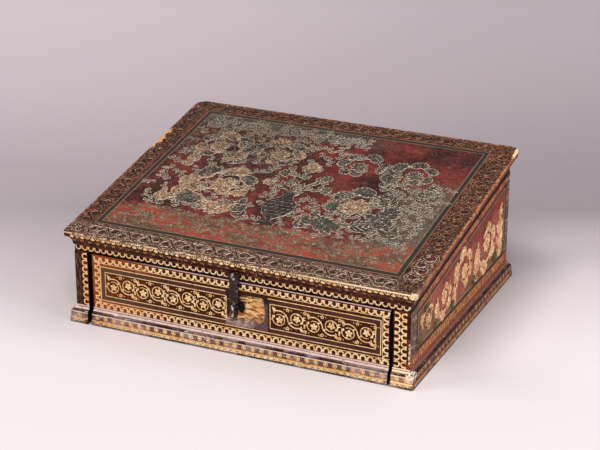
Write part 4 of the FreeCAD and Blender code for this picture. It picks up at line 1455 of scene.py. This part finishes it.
def gild_case(gold, faded):
    """The pilasters' twin scallops and the arches along the foot of the sides."""
    arch = scallop_stamp("pilaster_scallop", PILASTER_PITCH, 6.8, 2.0)
    pilasters = Piece("pilaster_scallops", "case", gold)
    foot = DRAWER_FOOT + 4.5
    head = DRAWER_TOP - 4.0
    right_middle = (low("right_pilaster_leather").x + high("right_pilaster_leather").x) / 2 - 0.9
    left_column = high("left_pilaster_leather").x - 5.0
    for x, start, end, carrier in ((right_middle - TWIN_REACH, foot, head, "right_pilaster_leather"),
                                   (right_middle + TWIN_REACH, head, foot, "right_pilaster_leather"),
                                   (left_column, head, foot, "left_pilaster_leather")):
        pilasters.row(carrier, arch, (x, CASE_FRONT, start), (x, CASE_FRONT, end),
                      even_copies(head - foot, PILASTER_PITCH), -Y_AXIS, wobble=0.3)
    pilasters.done()

    side_arch = scallop_stamp("side_arch", ARCH_PITCH, 8.4, 1.7)
    arches = Piece("side_foot_arches", "case", faded)
    front = low("right_side_leather").y + 12
    back = high("right_side_leather").y - 8
    for carrier, x, start, end, outward, seed in (("right_side_leather", CASE_RIGHT, back, front, X_AXIS, 3),
                                                  ("left_side_leather", CASE_LEFT, front, back, -X_AXIS, 4)):
        arches.row(carrier, side_arch, (x, start, ARCH_HEIGHT), (x, end, ARCH_HEIGHT),
                   even_copies(back - front, ARCH_PITCH), outward, seed, kept=0.95)
    arches.done()


def gild_base(gold, faded):
    """Ringed rosettes on the band and a plait on the plinth, right round the foot."""
    rosette = rosette_stamp("base_rosette", 2.9)
    plait = lozenge_stamp("base_plait", PLAIT_PITCH, 2.7)
    band = (PLINTH_TOP + BAND_TOP) / 2
    plinth = PLINTH_TOP / 2 + 1.0
    for name, body, finish, kept, walls in (
            ("drawer_base", "drawer", gold, 1.0, ["drawer_base_moulding"]),
            ("pilaster_base", "case", gold, 1.0, ["left_pilaster_base", "right_pilaster_base"]),
            ("case_base", "case", faded, 0.95, ["left_base_moulding", "right_base_moulding",
                                                "back_base_moulding"])):
        for ending, stamp, height, pitch in (("_rosettes", rosette, band, ROSETTE_PITCH),
                                             ("_plait", plait, plinth, PLAIT_PITCH)):
            piece = Piece(name + ending, body, finish, "gilt_moulding")
            for seed, wall in enumerate(walls):
                outward, start, end = base_run(wall)
                copies = max(1, int(((end - start).length - 2.0) / pitch))
                middle = (start + end) / 2 + Z_AXIS * height
                reach = (end - start).normalized() * pitch * (copies - 1) / 2
                piece.row(wall, stamp, middle - reach, middle + reach, copies, outward, seed, kept, 0.2)
            piece.done()


def base_run(wall):
    """Which way a base moulding faces, and where its run starts and ends, at the floor."""
    side = {"right_base_moulding": 1, "back_base_moulding": 2, "left_base_moulding": 3}.get(wall, 0)
    least, most = low(wall), high(wall)
    start, end = sides_of(rectangle(least.x, most.x, least.y, most.y))[side]
    return OUTWARD[side], Vector((*start, 0)), Vector((*end, 0))


# ---------------------------------------------------------------- the lid's mouldings

LID_WALLS = ("lid_front_moulding", "lid_right_moulding", "lid_back_moulding", "lid_left_moulding")
FRONT_CORNER = 5.0
BACK_CORNER = 12.0
LID_CORNERS = (FRONT_CORNER, FRONT_CORNER, BACK_CORNER, BACK_CORNER)
FRIEZE_INSET = 9.5
FLORET_PITCH = 10.0
FLORET_RISE = 14.5
FLORET_INSET = 5.0
PALMETTE_PITCH = 13.0
PALMETTE_RISE = 22.3


def gild_lid_mouldings(gold, faded):
    """U-shaped arches on the frieze, florets in the hollow, palmettes on the fillet: bright only in front."""
    arch = scallop_stamp("frieze_arch", PILASTER_PITCH, 5.2, 1.7)
    low_arch = scallop_stamp("side_frieze_arch", PILASTER_PITCH, 3.6, 1.2)
    floret = floret_stamp("cavetto_floret", 2.6)
    palmette = palmette_stamp("cornice_palmette", PALMETTE_PITCH, 4.5)
    friezes, palmettes, florets, worn = [
        Piece(name, "lid", finish, "gilt_moulding")
        for name, finish in (("lid_frieze_arches", gold), ("lid_cornice_palmettes", gold),
                             ("lid_cavetto_florets", faded), ("lid_worn_gilding", faded))]
    # Each row has its piece and stamp, its rise off the seat line, its pitch, its inset and the share kept.
    front = ((friezes, arch, 4.7, PILASTER_PITCH, FRIEZE_INSET, 1.0),
             (florets, floret, FLORET_RISE, FLORET_PITCH, FLORET_INSET, 0.9),
             (palmettes, palmette, PALMETTE_RISE, PALMETTE_PITCH, 0.0, 1.0))
    other = ((worn, low_arch, 5.4, PILASTER_PITCH, FRIEZE_INSET, 0.8),
             (florets, floret, FLORET_RISE, FLORET_PITCH, FLORET_INSET, 0.7),
             (worn, palmette, PALMETTE_RISE, PALMETTE_PITCH, 0.0, 0.35))
    outline = sides_of(rectangle(LID_LEFT, LID_RIGHT, LID_FRONT, LID_BACK))
    for side, (wall, ends) in enumerate(zip(LID_WALLS, outline)):
        start, end = map(Vector, ends)
        run = (end - start).normalized()
        for piece, stamp, rise, pitch, inset, kept in (other if side else front):
            begin = start + run * (max(LID_CORNERS[side], inset) + pitch / 2 + 0.5)
            stop = end - run * (max(LID_CORNERS[(side + 1) % 4], inset) + pitch / 2 + 0.5)
            piece.row(wall, stamp, (*begin, seat_line(begin.y) + rise), (*stop, seat_line(stop.y) + rise),
                      even_copies((stop - begin).length, pitch), OUTWARD[side], side, kept, 0.15)
    for piece in (friezes, palmettes, florets, worn):
        piece.done()


# ---------------------------------------------------------------- painted and raised designs

VEINED_FROM = 3.4
LEAFLET_LEAN = 52
LEAFLET_CURL = 38
LEAF_LEAN = 34
SCROLL_POINTS = 44
SCROLL_EYE = 0.42
FULL_TURN = 6.28


class Design:
    """A picture in raised paint: cream, sage and charcoal bodies, all edged with thin pale lines."""

    def __init__(self, height, line_width=0.8):
        self.height = height
        self.line_width = line_width
        self.cream = Relief()
        self.sage = Relief()
        self.charcoal = Relief()
        self.lines = Relief()

    def edges(self, line, distances, height=0.25, hands=(1, -1)):
        """Pale lines along a line's left side, its right side or both."""
        for hand in hands:
            self.lines.stroke(beside(line, [hand * away for away in distances]), self.line_width, height)

    def edged_leaf(self, body, spine, width):
        """A leaf with a pale line round it, and a dark vein if it is broad enough to show one."""
        body.leaf(spine, width, self.height)
        self.edges(spine, leaf_halves(len(spine), width + 0.5))
        if width > VEINED_FROM:
            vein = self.lines if body is self.charcoal else self.charcoal
            vein.stroke(spine[:-1], tapered(len(spine) - 1, width * 0.24, width * 0.12), self.height + 0.06)

    def acanthus(self, body, spine, width, pairs):
        """A broad leaf built from leaflets that sweep off its spine in pairs."""
        count = len(spine)
        for pair in range(pairs):
            share = (pair + 0.3) / pairs
            index = min(count - 2, int(share * (count - 1)))
            heading = heading_at(spine, index)
            reach = width * (0.45 + 0.55 * math.sin(math.pi * min(1.0, share + 0.25)))
            for hand in (1, -1):
                leaflet = bent(spine[index], heading + hand * LEAFLET_LEAN, reach, -hand * LEAFLET_CURL)
                self.edged_leaf(body, leaflet, reach * 0.42)
        self.edged_leaf(body, spine[int(count * 0.62):], width * 0.42)
        body.stroke(spine, tapered(count, width * 0.16, width * 0.05), self.height * 1.2)

    def flower(self, body, centre, radius, petals, turn=0.0):
        """A round flower: two rings of petals and a pearled eye."""
        for ring, (inner, outer) in enumerate(((0.35, 1.0), (0.16, 0.62))):
            for index in range(petals):
                heading = turn + 360 * (index + 0.5 * ring) / petals
                start, end = [along(centre, heading, share * radius) for share in (inner, outer)]
                self.edged_leaf(body, straight(start, end, 6), 3.9 * outer * radius / petals)
        body.boss(centre, radius * 0.2, self.height * 1.8, 10)

    def scroll(self, body, leaf_body, centre, outer, start, sweep, leaves, flower, stem=0.1):
        """A volute stem, as thick as a share of its reach, that throws leaves and ends round a flower."""
        half = outer * stem / 2
        line = volute(centre, outer, outer * SCROLL_EYE, start, sweep, SCROLL_POINTS)
        body.stroke(line, tapered(SCROLL_POINTS, half * 2, half), self.height)
        self.edges(line, [half] * SCROLL_POINTS, self.height * 0.6)
        hand = 1 if sweep > 0 else -1
        for leaf in range(leaves):
            index = int((leaf + 0.3) / leaves * (SCROLL_POINTS * 0.86))
            heading = heading_at(line, index)
            size = outer * (0.82 - 0.42 * leaf / leaves)
            outwards = bent(line[index], heading - hand * LEAF_LEAN, size, hand * 66, 12)
            self.acanthus(leaf_body if leaf % 2 else body, outwards, size * 0.6, 6)
            inwards = bent(line[index], heading + hand * LEAF_LEAN, size * 0.55, -hand * 60, 8)
            self.acanthus(body if leaf % 2 else leaf_body, inwards, size * 0.28, 4)
        self.flower(flower, centre, outer * 0.4, 8)


BORDER_HEIGHT = 0.4
BORDER_EDGE = 0.3


def border_unit(pitch, half):
    """One turn of the border's running scroll: two dark volutes with leaves, edged with pale lines."""
    design = Design(0.35, 0.6)
    body = design.charcoal
    size = half / 10
    shares = [index / 16 - 0.5 for index in range(17)]
    stem = [(pitch * share, 6.2 * size * math.sin(2 * math.pi * share)) for share in shares]
    body.stroke(stem, 2.4, BORDER_HEIGHT)
    for hand in (1, -1):
        u = -hand * pitch / 4
        centre = (u, 1.6 * hand * size)
        coil = volute(centre, 6.4 * size, 1.8 * size, -90 * hand, 430 * hand, 18)
        body.stroke(coil, tapered(18, 2.2, 1.2), BORDER_HEIGHT)
        design.edges(coil, [1.3] * 18, BORDER_EDGE, hands=(-hand,))
        body.boss(centre, 1.7 * size, 0.6)
        for turn in (20, 80, 140, 200, 260):
            start = along(centre, turn * hand, 5.2 * size)
            design.edged_leaf(body, bent(start, (turn + 30) * hand, 5.6 * size, 50 * hand), 3.4 * size)
        for heading, bend in ((0, -30), (180, 30)):
            design.edged_leaf(body, bent((u, 8.6 * hand * size), heading, 6.0, bend * hand), 2.6)
    design.edges(stem, [1.4] * 17, BORDER_EDGE)
    return design


def trail_border():
    """A running scroll right round the lid's border, its lines pale in front where they are rubbed and carry
    a painted sheen, with a flower at each corner.
    """
    dark = paint("border_bole_paint", (40, 23, 18), (104, 74, 56), (24, 13, 10))
    pale = gilding("border_pale_lines", (214, 188, 158), (146, 112, 88), (64, 36, 28), 0.66, True)
    brown = gilding("border_brown_lines", (168, 118, 78), (104, 62, 42), (52, 24, 17), 0.6, True)
    bodies = Piece("lid_border_scrollwork", "lid", dark)
    front_edges = Piece("lid_front_border_outlines", "lid", pale)
    other_edges = Piece("lid_border_outlines", "lid", brown)
    left, right = (LID_LEFT + FIELD_LEFT - FRAME) / 2, (LID_RIGHT + FIELD_RIGHT + FRAME) / 2
    bottom, top = (FIELD_LOW - FRAME) / 2, (LID_LENGTH + FIELD_HIGH + FRAME) / 2
    halves = [bottom - 3, LID_RIGHT - right - 3, LID_LENGTH - top - 2.5, left - LID_LEFT - 3]
    for side, (start, end) in enumerate(sides_of(rectangle(left, right, bottom, top))):
        edges = other_edges if side else front_edges
        run = Vector(end) - Vector(start)
        clear = max(halves[side - 1], halves[(side + 1) % 4]) + 1
        units = round((run.length - 2 * clear) / BORDER_PITCH)
        pitch = (run.length - 2 * clear) / units
        first_place = Vector(start) + run.normalized() * (clear + pitch / 2)
        design = border_unit(pitch, halves[side])
        runs = [(bodies, design.charcoal, 0, units), (edges, design.lines, 0, units)]
        if side == 1:
            # The front end of the right side keeps the pale lines of the front: rubbed, and with a painted
            # sheen.
            rubbed = units // 4
            runs[1:] = [(front_edges, design.lines, 0, rubbed), (other_edges, design.lines, rubbed, units)]
        for piece, relief, first, last in runs:
            places = [LID_TOP.point(*(first_place + run.normalized() * pitch * unit)) / MM
                      for unit in (first, last - 1)]
            piece.row("lid_cover_leather", stamp_object("border_unit", relief), *places, last - first,
                      OFF_SLOPE, wobble=0.0)
        corner = Design(0.35)
        corner.flower(corner.charcoal, start, min(halves[side], halves[side - 1]), 6)
        bodies.relief(corner.charcoal, LID_TOP)
        edges.relief(corner.lines, LID_TOP)
    for piece in (bodies, front_edges, other_edges):
        piece.done()


def lid_design():
    """A vase of flowers between leafy scrolls: cream to the left, sage to the right, on a strip of ground."""
    design = Design(0.5)
    cream, sage, charcoal = design.cream, design.sage, design.charcoal
    axis = (FIELD_LEFT + FIELD_RIGHT) / 2
    vase(design, axis, 84.0)
    for body, leaf_body, aside, up, outer, start, sweep, leaves, flower in (
            (cream, sage, -82, 150, 46, -40, -400, 7, cream),
            (sage, charcoal, 82, 150, 46, 220, 400, 7, cream),
            (cream, charcoal, -128, 234, 33, -60, 380, 6, cream),
            (sage, sage, 118, 236, 28, 240, -380, 6, charcoal),
            (charcoal, cream, -50, 236, 31, 200, -360, 6, cream),
            (charcoal, sage, 50, 236, 28, -20, 360, 6, sage)):
        design.scroll(body, leaf_body, (axis + aside, up), outer, start, sweep, leaves, flower)
    for hand, main_body in ((-1, cream), (1, sage)):
        for body, aside, up, turn, length, bend, count, width, pairs in (
                (main_body, 142, 98, 20, 66, 60, 10, 20, 6),
                (sage, 32, 92, -50, 44, 70, 9, 16, 5),
                (main_body, 148, 180, 24, 46, -60, 9, 13, 5),
                (charcoal, 92, 200, -30, 46, 80, 9, 14, 5)):
            spine = bent((axis + hand * aside, up), 90 + hand * turn, length, hand * bend, count)
            design.acanthus(body, spine, width, pairs)
    return design


VASE_OUTLINE = [(10, 0), (11, 3), (4, 7), (3, 12), (13, 22), (19, 36), (17, 50), (8, 60), (6, 66), (10, 72)]


def vase(design, axis, foot):
    """A footed vase with banded scales, and the bunch that rises out of it."""
    for (half_below, below), (half, above) in zip(VASE_OUTLINE, VASE_OUTLINE[1:]):
        wall = [(axis - half_below, foot + below), (axis + half_below, foot + below),
                (axis + half, foot + above), (axis - half, foot + above)]
        design.charcoal.slab(wall, design.height)
    for hand in (1, -1):
        side = [(axis + hand * half, foot + rise) for half, rise in VASE_OUTLINE]
        design.lines.stroke(side[::-hand], 0.8, 0.65)
        handle = bent((axis + hand * 15, foot + 52), 90 - hand * 70, 18, hand * 150, 8)
        design.acanthus(design.sage, handle, 6, 3)
    for row in range(5):
        half = 14 + 4 * math.sin(math.pi * row / 4)
        for column in range(5):
            u = axis + half * ((column + 0.5 * (row % 2) + 0.25) / 5 * 2 - 1)
            design.lines.stroke(arc((u, foot + 24 + 7 * row), 2.4, 190, 350, 6), 0.5, 0.75)
    for heading, length, radius, body in (
            (90, 62, 11, design.cream), (112, 50, 8, design.sage), (68, 50, 8, design.sage),
            (134, 40, 8, design.cream), (46, 40, 8, design.charcoal)):
        stem = bent((axis, foot + 72), heading, length, (heading - 90) * 0.9, 10)
        design.sage.stroke(stem, 1.3, design.height)
        design.lines.stroke(beside(stem, [1.0] * 10), 0.45, 0.25)
        design.flower(body, stem[-1], radius, 7, heading)
        for index, hand in ((3, 1), (5, -1), (7, 1)):
            design.edged_leaf(design.sage, bent(stem[index], heading + hand * 50, 12, -hand * 40), 3.6)


def stamp_collection(name, reliefs):
    """Stamps to strew, gathered under one name."""
    collection = bpy.data.collections.new(name)
    for index, relief in enumerate(reliefs):
        collection.objects.link(stamp_object(f"{name}_{index}", relief))
    return collection


def sprig(number, spread):
    """A flame-leaved sprig for the strip of ground."""
    relief = Relief()
    relief.stroke(bent((0, -6), 90, 11, 14 * (number - 1), 5), 1.0, 0.4)
    for lean in (-2, -1, 0, 1, 2):
        root = (0, -3 + 1.2 * abs(lean))
        relief.leaf(bent(root, 90 + spread * lean, 11.5 - 1.5 * abs(lean), 22 * lean), 2.9, 0.45)
    return relief


def spray(bend):
    """A curving leafy spray to fill the field."""
    design = Design(0.3)
    stem = bent((-8, -3), 20, 19, bend, 9)
    design.sage.stroke(stem, 1.2, 0.3)
    for leaf in range(3):
        for hand in (1, -1):
            heading = 20 + bend * leaf / 3 + hand * 55
            design.edged_leaf(design.sage, bent(stem[1 + 3 * leaf], heading, 8.0, -hand * 50), 3.5)
    return design


def spray_strips():
    """Parts of the field to fill with sprays: (left, right, bottom, top) and the spacing."""
    middle = (FIELD_LEFT + FIELD_RIGHT) / 2
    return [
        ((FIELD_LEFT + 10, middle + 20, GROUND_HIGH + 6, FIELD_HIGH - 30), 15.0),
        ((FIELD_LEFT + 10, middle + 40, FIELD_HIGH - 24, FIELD_HIGH - 10), 8.0),
        ((middle + 30, FIELD_RIGHT - 10, GROUND_HIGH, 165.0), 12.0),
        ((middle + 95, FIELD_RIGHT - 10, 165.0, 225.0), 11.0),
    ]


def paint_lid():
    """Sets the lid's design into its painted field, with sprigs and sprays about it."""
    pale = gilding("pale_silvered_lines", (226, 208, 184), (158, 140, 118), (60, 40, 34), 0.8, True)
    cream = paint("cream_paint", (162, 126, 93), (248, 220, 184), (74, 46, 30), patch=8.0)
    sage = paint("sage_paint", (80, 74, 64), (142, 134, 118), (38, 33, 29))
    charcoal = paint("charcoal_paint", (50, 44, 43), (118, 110, 100), (24, 20, 20))
    grass = paint("ground_sprig_paint", (120, 104, 82), (182, 158, 130), (52, 42, 34), patch=9.0)
    design = lid_design()
    relief_piece("lid_cream_scrollwork", "lid", cream, design.cream, LID_TOP)
    relief_piece("lid_sage_foliage", "lid", sage, design.sage, LID_TOP)
    relief_piece("lid_charcoal_vase", "lid", charcoal, design.charcoal, LID_TOP)
    relief_piece("lid_pale_outlines", "lid", pale, design.lines, LID_TOP)

    sprigs = stamp_collection("ground_sprigs", [sprig(*kind) for kind in enumerate((30, 40, 22))])
    ground = (FIELD_LEFT + 6, FIELD_RIGHT - 6, FIELD_LOW + 6, GROUND_HIGH - 4)
    piece = Piece("lid_ground_sprigs", "lid", grass)
    piece.strew(sprigs, ground, spacing=9.5, turn=2.2, seed=11)
    piece.done()

    sprays = [spray(bend) for bend in (70, -90, 130)]
    for name, finish, stamps in (
            ("lid_small_sprays", sage, stamp_collection("sprays", [kind.sage for kind in sprays])),
            ("lid_small_spray_outlines", pale,
             stamp_collection("spray_outlines", [kind.lines for kind in sprays]))):
        piece = Piece(name, "lid", finish)
        for number, (strip, spacing) in enumerate(spray_strips()):
            piece.strew(stamps, strip, spacing, FULL_TURN, seed=20 + number)
        piece.done()


def side_design(hand):
    """Four growing leafy scrolls that fill the tapering side panel, with a tall leaf at its deep end."""
    design = Design(1.3)
    for centre_y, outer, start, turn, leaves in (
            (-108, 16.5, 200, -1, design.sage), (-58, 22.0, 160, 1, design.cream),
            (6, 26.0, 200, -1, design.cream), (80, 31.0, 160, 1, design.cream)):
        centre_z = (SIDE_PANEL_LOW + seat_line(centre_y) - SIDE_PANEL_DROP) / 2
        begin = start if hand > 0 else 180 - start
        design.scroll(design.cream, leaves, (centre_y * hand, centre_z), outer, begin, 340 * turn * hand, 5,
                      design.cream, 0.2)
    for centre_y, height, width in ((126, 66, 20), (44, 40, 11), (-26, 34, 10)):
        spine = bent((centre_y * hand, SIDE_PANEL_LOW + 2), 90 + 8 * hand, height, -22 * hand, 10)
        design.acanthus(design.cream, spine, width, 5)
    for centre_y in (-128, -84, -30, 40, 110, 138):
        for lean in (-2, -1, 0, 1, 2):
            blade = bent((centre_y * hand, SIDE_PANEL_LOW + 0.5), 90 + 26 * lean, 13 + centre_y * 0.03,
                         -12 * lean)
            design.edged_leaf(design.sage, blade, 4.4)
    return design


def paint_sides():
    """Sets the scrolls into both side panels."""
    cream = paint("side_cream_paint", (236, 190, 144), (255, 234, 200), (166, 106, 66), 3.0,
                  False, 7.0)
    sage = paint("side_sage_paint", (104, 92, 62), (150, 136, 96), (58, 48, 34), 3.0, False, 7.0)
    brown = paint("side_brown_lines", (134, 78, 48), (190, 134, 90), (84, 44, 30), 3.0, False)
    designs = ((RIGHT_SIDE, side_design(1)), (LEFT_SIDE, side_design(-1)))
    for name, finish, body in (("side_cream_scrollwork", cream, "cream"), ("side_sage_foliage", sage, "sage"),
                               ("side_pale_outlines", brown, "lines")):
        piece = Piece(name, "case", finish)
        for face, design in designs:
            piece.relief(getattr(design, body), face)
        piece.done()


# ---------------------------------------------------------------- the floor

FLOOR_REACH = 9000.0


def lay_floor():
    """A pale floor with painted light falloff: it greys off behind the box along one fixed direction, more so
    to the right, with a painted shadow along the box's right side and a painted strip of light beyond it.
    """
    surface = Surface("pale_floor")
    turned = surface.mapped(surface.place, Rotation=(0, 0, -math.radians(CAMERA_TURN[2])))
    right, away, _ = surface.axes(turned)
    # Painted light falloff: the floor greys off with distance behind the box.
    stops = [(0.0, (223, 217, 218)), (880.0, (225, 218, 220)), (1000.0, (215, 206, 209)),
             (1140.0, (196, 186, 191)), (1280.0, (174, 164, 169)), (1420.0, (178, 167, 173)),
             (1750.0, (205, 193, 199)), (2200.0, (230, 218, 224))]
    colour = surface.bands(away + 1000.0, 3200.0, stops, "LINEAR")
    # Painted falloff, deeper behind the box and to the right.
    painted_falloff_behind = away.step(160.0, 280.0) * right.step(-500.0, 500.0)
    colour = surface.mix(painted_falloff_behind, colour, (226, 226, 226), "MULTIPLY")
    # A painted shadow along the box's right side, with a painted strip of light beyond it.
    shade = surface.x.step(200.0, 290.0).scaled(0.64, 1.15) - surface.x.step(310.0, 480.0) * 0.15
    painted_shadow_along_side = surface.y.step(-140.0, -30.0) * surface.y.step(280.0, 200.0) * surface.x.step(0.0, 100.0)
    colour = surface.mix(painted_shadow_along_side, colour, shade, "MULTIPLY")
    corners = rectangle(-FLOOR_REACH, FLOOR_REACH, -FLOOR_REACH, FLOOR_REACH)
    mesh = flat_mesh("floor", corners, GROUND)
    mesh.materials.append(surface.finish(colour, 0.9, specular=0.1))
    floor = placed("floor", mesh)


# ---------------------------------------------------------------- putting it together

def dress(finish, *nodes):
    """Gives a finish to modelled nodes."""
    for node in nodes:
        slots = NODES[node].data.materials
        slots.clear()
        slots.append(finish)


def dress_nodes(bared_wood):
    """Gives every modelled node its finish."""
    # The three copies of the base leather differ partly by wear and partly by painted light: the front and
    # the corner carry a bright painted sheen and glints, the sides a dim one.
    front_base = leather_of_base("front_base_gilt_moulding", (222, 192, 182), (98, 62, 52),
                                 (255, 246, 238), (222, 168, 102))
    corner_base = leather_of_base("corner_base_worn_gilding", (250, 222, 188), (146, 104, 76),
                                  (255, 250, 242), (252, 214, 158))
    other_base = leather_of_base("side_base_gilt_moulding", (126, 74, 62), (62, 30, 24),
                                 (214, 178, 146), (140, 88, 54))
    front_cornice = leather_of_lid_mouldings("front_cornice_leather", (50, 22, 14), (246, 208, 152))
    other_cornice = leather_of_lid_mouldings("side_cornice_leather", (124, 70, 58), (220, 132, 64))
    dress(leather_of_drawer_front(), "drawer_front_leather")
    dress(leather_of_pilasters(), "left_pilaster_leather", "right_pilaster_leather")
    dress(leather_of_sides(), "left_side_leather", "right_side_leather")
    dress(leather_of_back(), "back_leather")
    dress(leather_of_lid(), "lid_cover_leather")
    dress(front_cornice, "lid_front_moulding")
    dress(other_cornice, "lid_right_moulding", "lid_back_moulding", "lid_left_moulding")
    dress(front_base, "drawer_base_moulding", "left_pilaster_base")
    dress(corner_base, "right_pilaster_base")
    dress(other_base, "left_base_moulding", "right_base_moulding", "back_base_moulding")
    dress(bared_wood, "drawer_front")
    dress(walnut("walnut_boards", (70, 44, 28), (116, 76, 48), 0.5),
          "left_side_board", "right_side_board", "back_board", "front_rail", "bottom_board",
          "compartment_floor", "drawer_left_side", "drawer_right_side", "drawer_back", "drawer_bottom",
          "lid_board")
    dress(lining_paper(), "compartment_lining", "drawer_lining", "lid_lining")
    dress(wrought_iron(), "left_hinge_case_leaf", "right_hinge_case_leaf", "left_hinge_pin",
          "right_hinge_pin", "hinge_case_nails", "left_hinge_lid_leaf", "right_hinge_lid_leaf",
          "hinge_lid_nails", "hasp_eye", "hasp_pin", "hasp")


def main():
    bpy.context.scene.view_settings.view_transform = "Standard"
    set_camera()
    set_lights()
    lay_floor()
    bared_wood = wood_of_drawer_front()
    dress_nodes(bared_wood)
    gold = gilding("bright_gold_tooling", (255, 228, 176), (234, 172, 102), (66, 28, 12), 0.9,
                   dull_left=0.7)
    faded = gilding("faded_gold_tooling", (222, 158, 90), (150, 92, 48), (60, 28, 18), 0.66)
    gild_drawer(gold)
    tear_lock_patch(torn_leather())
    splinter_scar(bared_wood)
    gild_case(gold, faded)
    gild_base(gold, faded)
    gild_lid_mouldings(gold, faded)
    trail_border()
    paint_lid()
    paint_sides()


main()
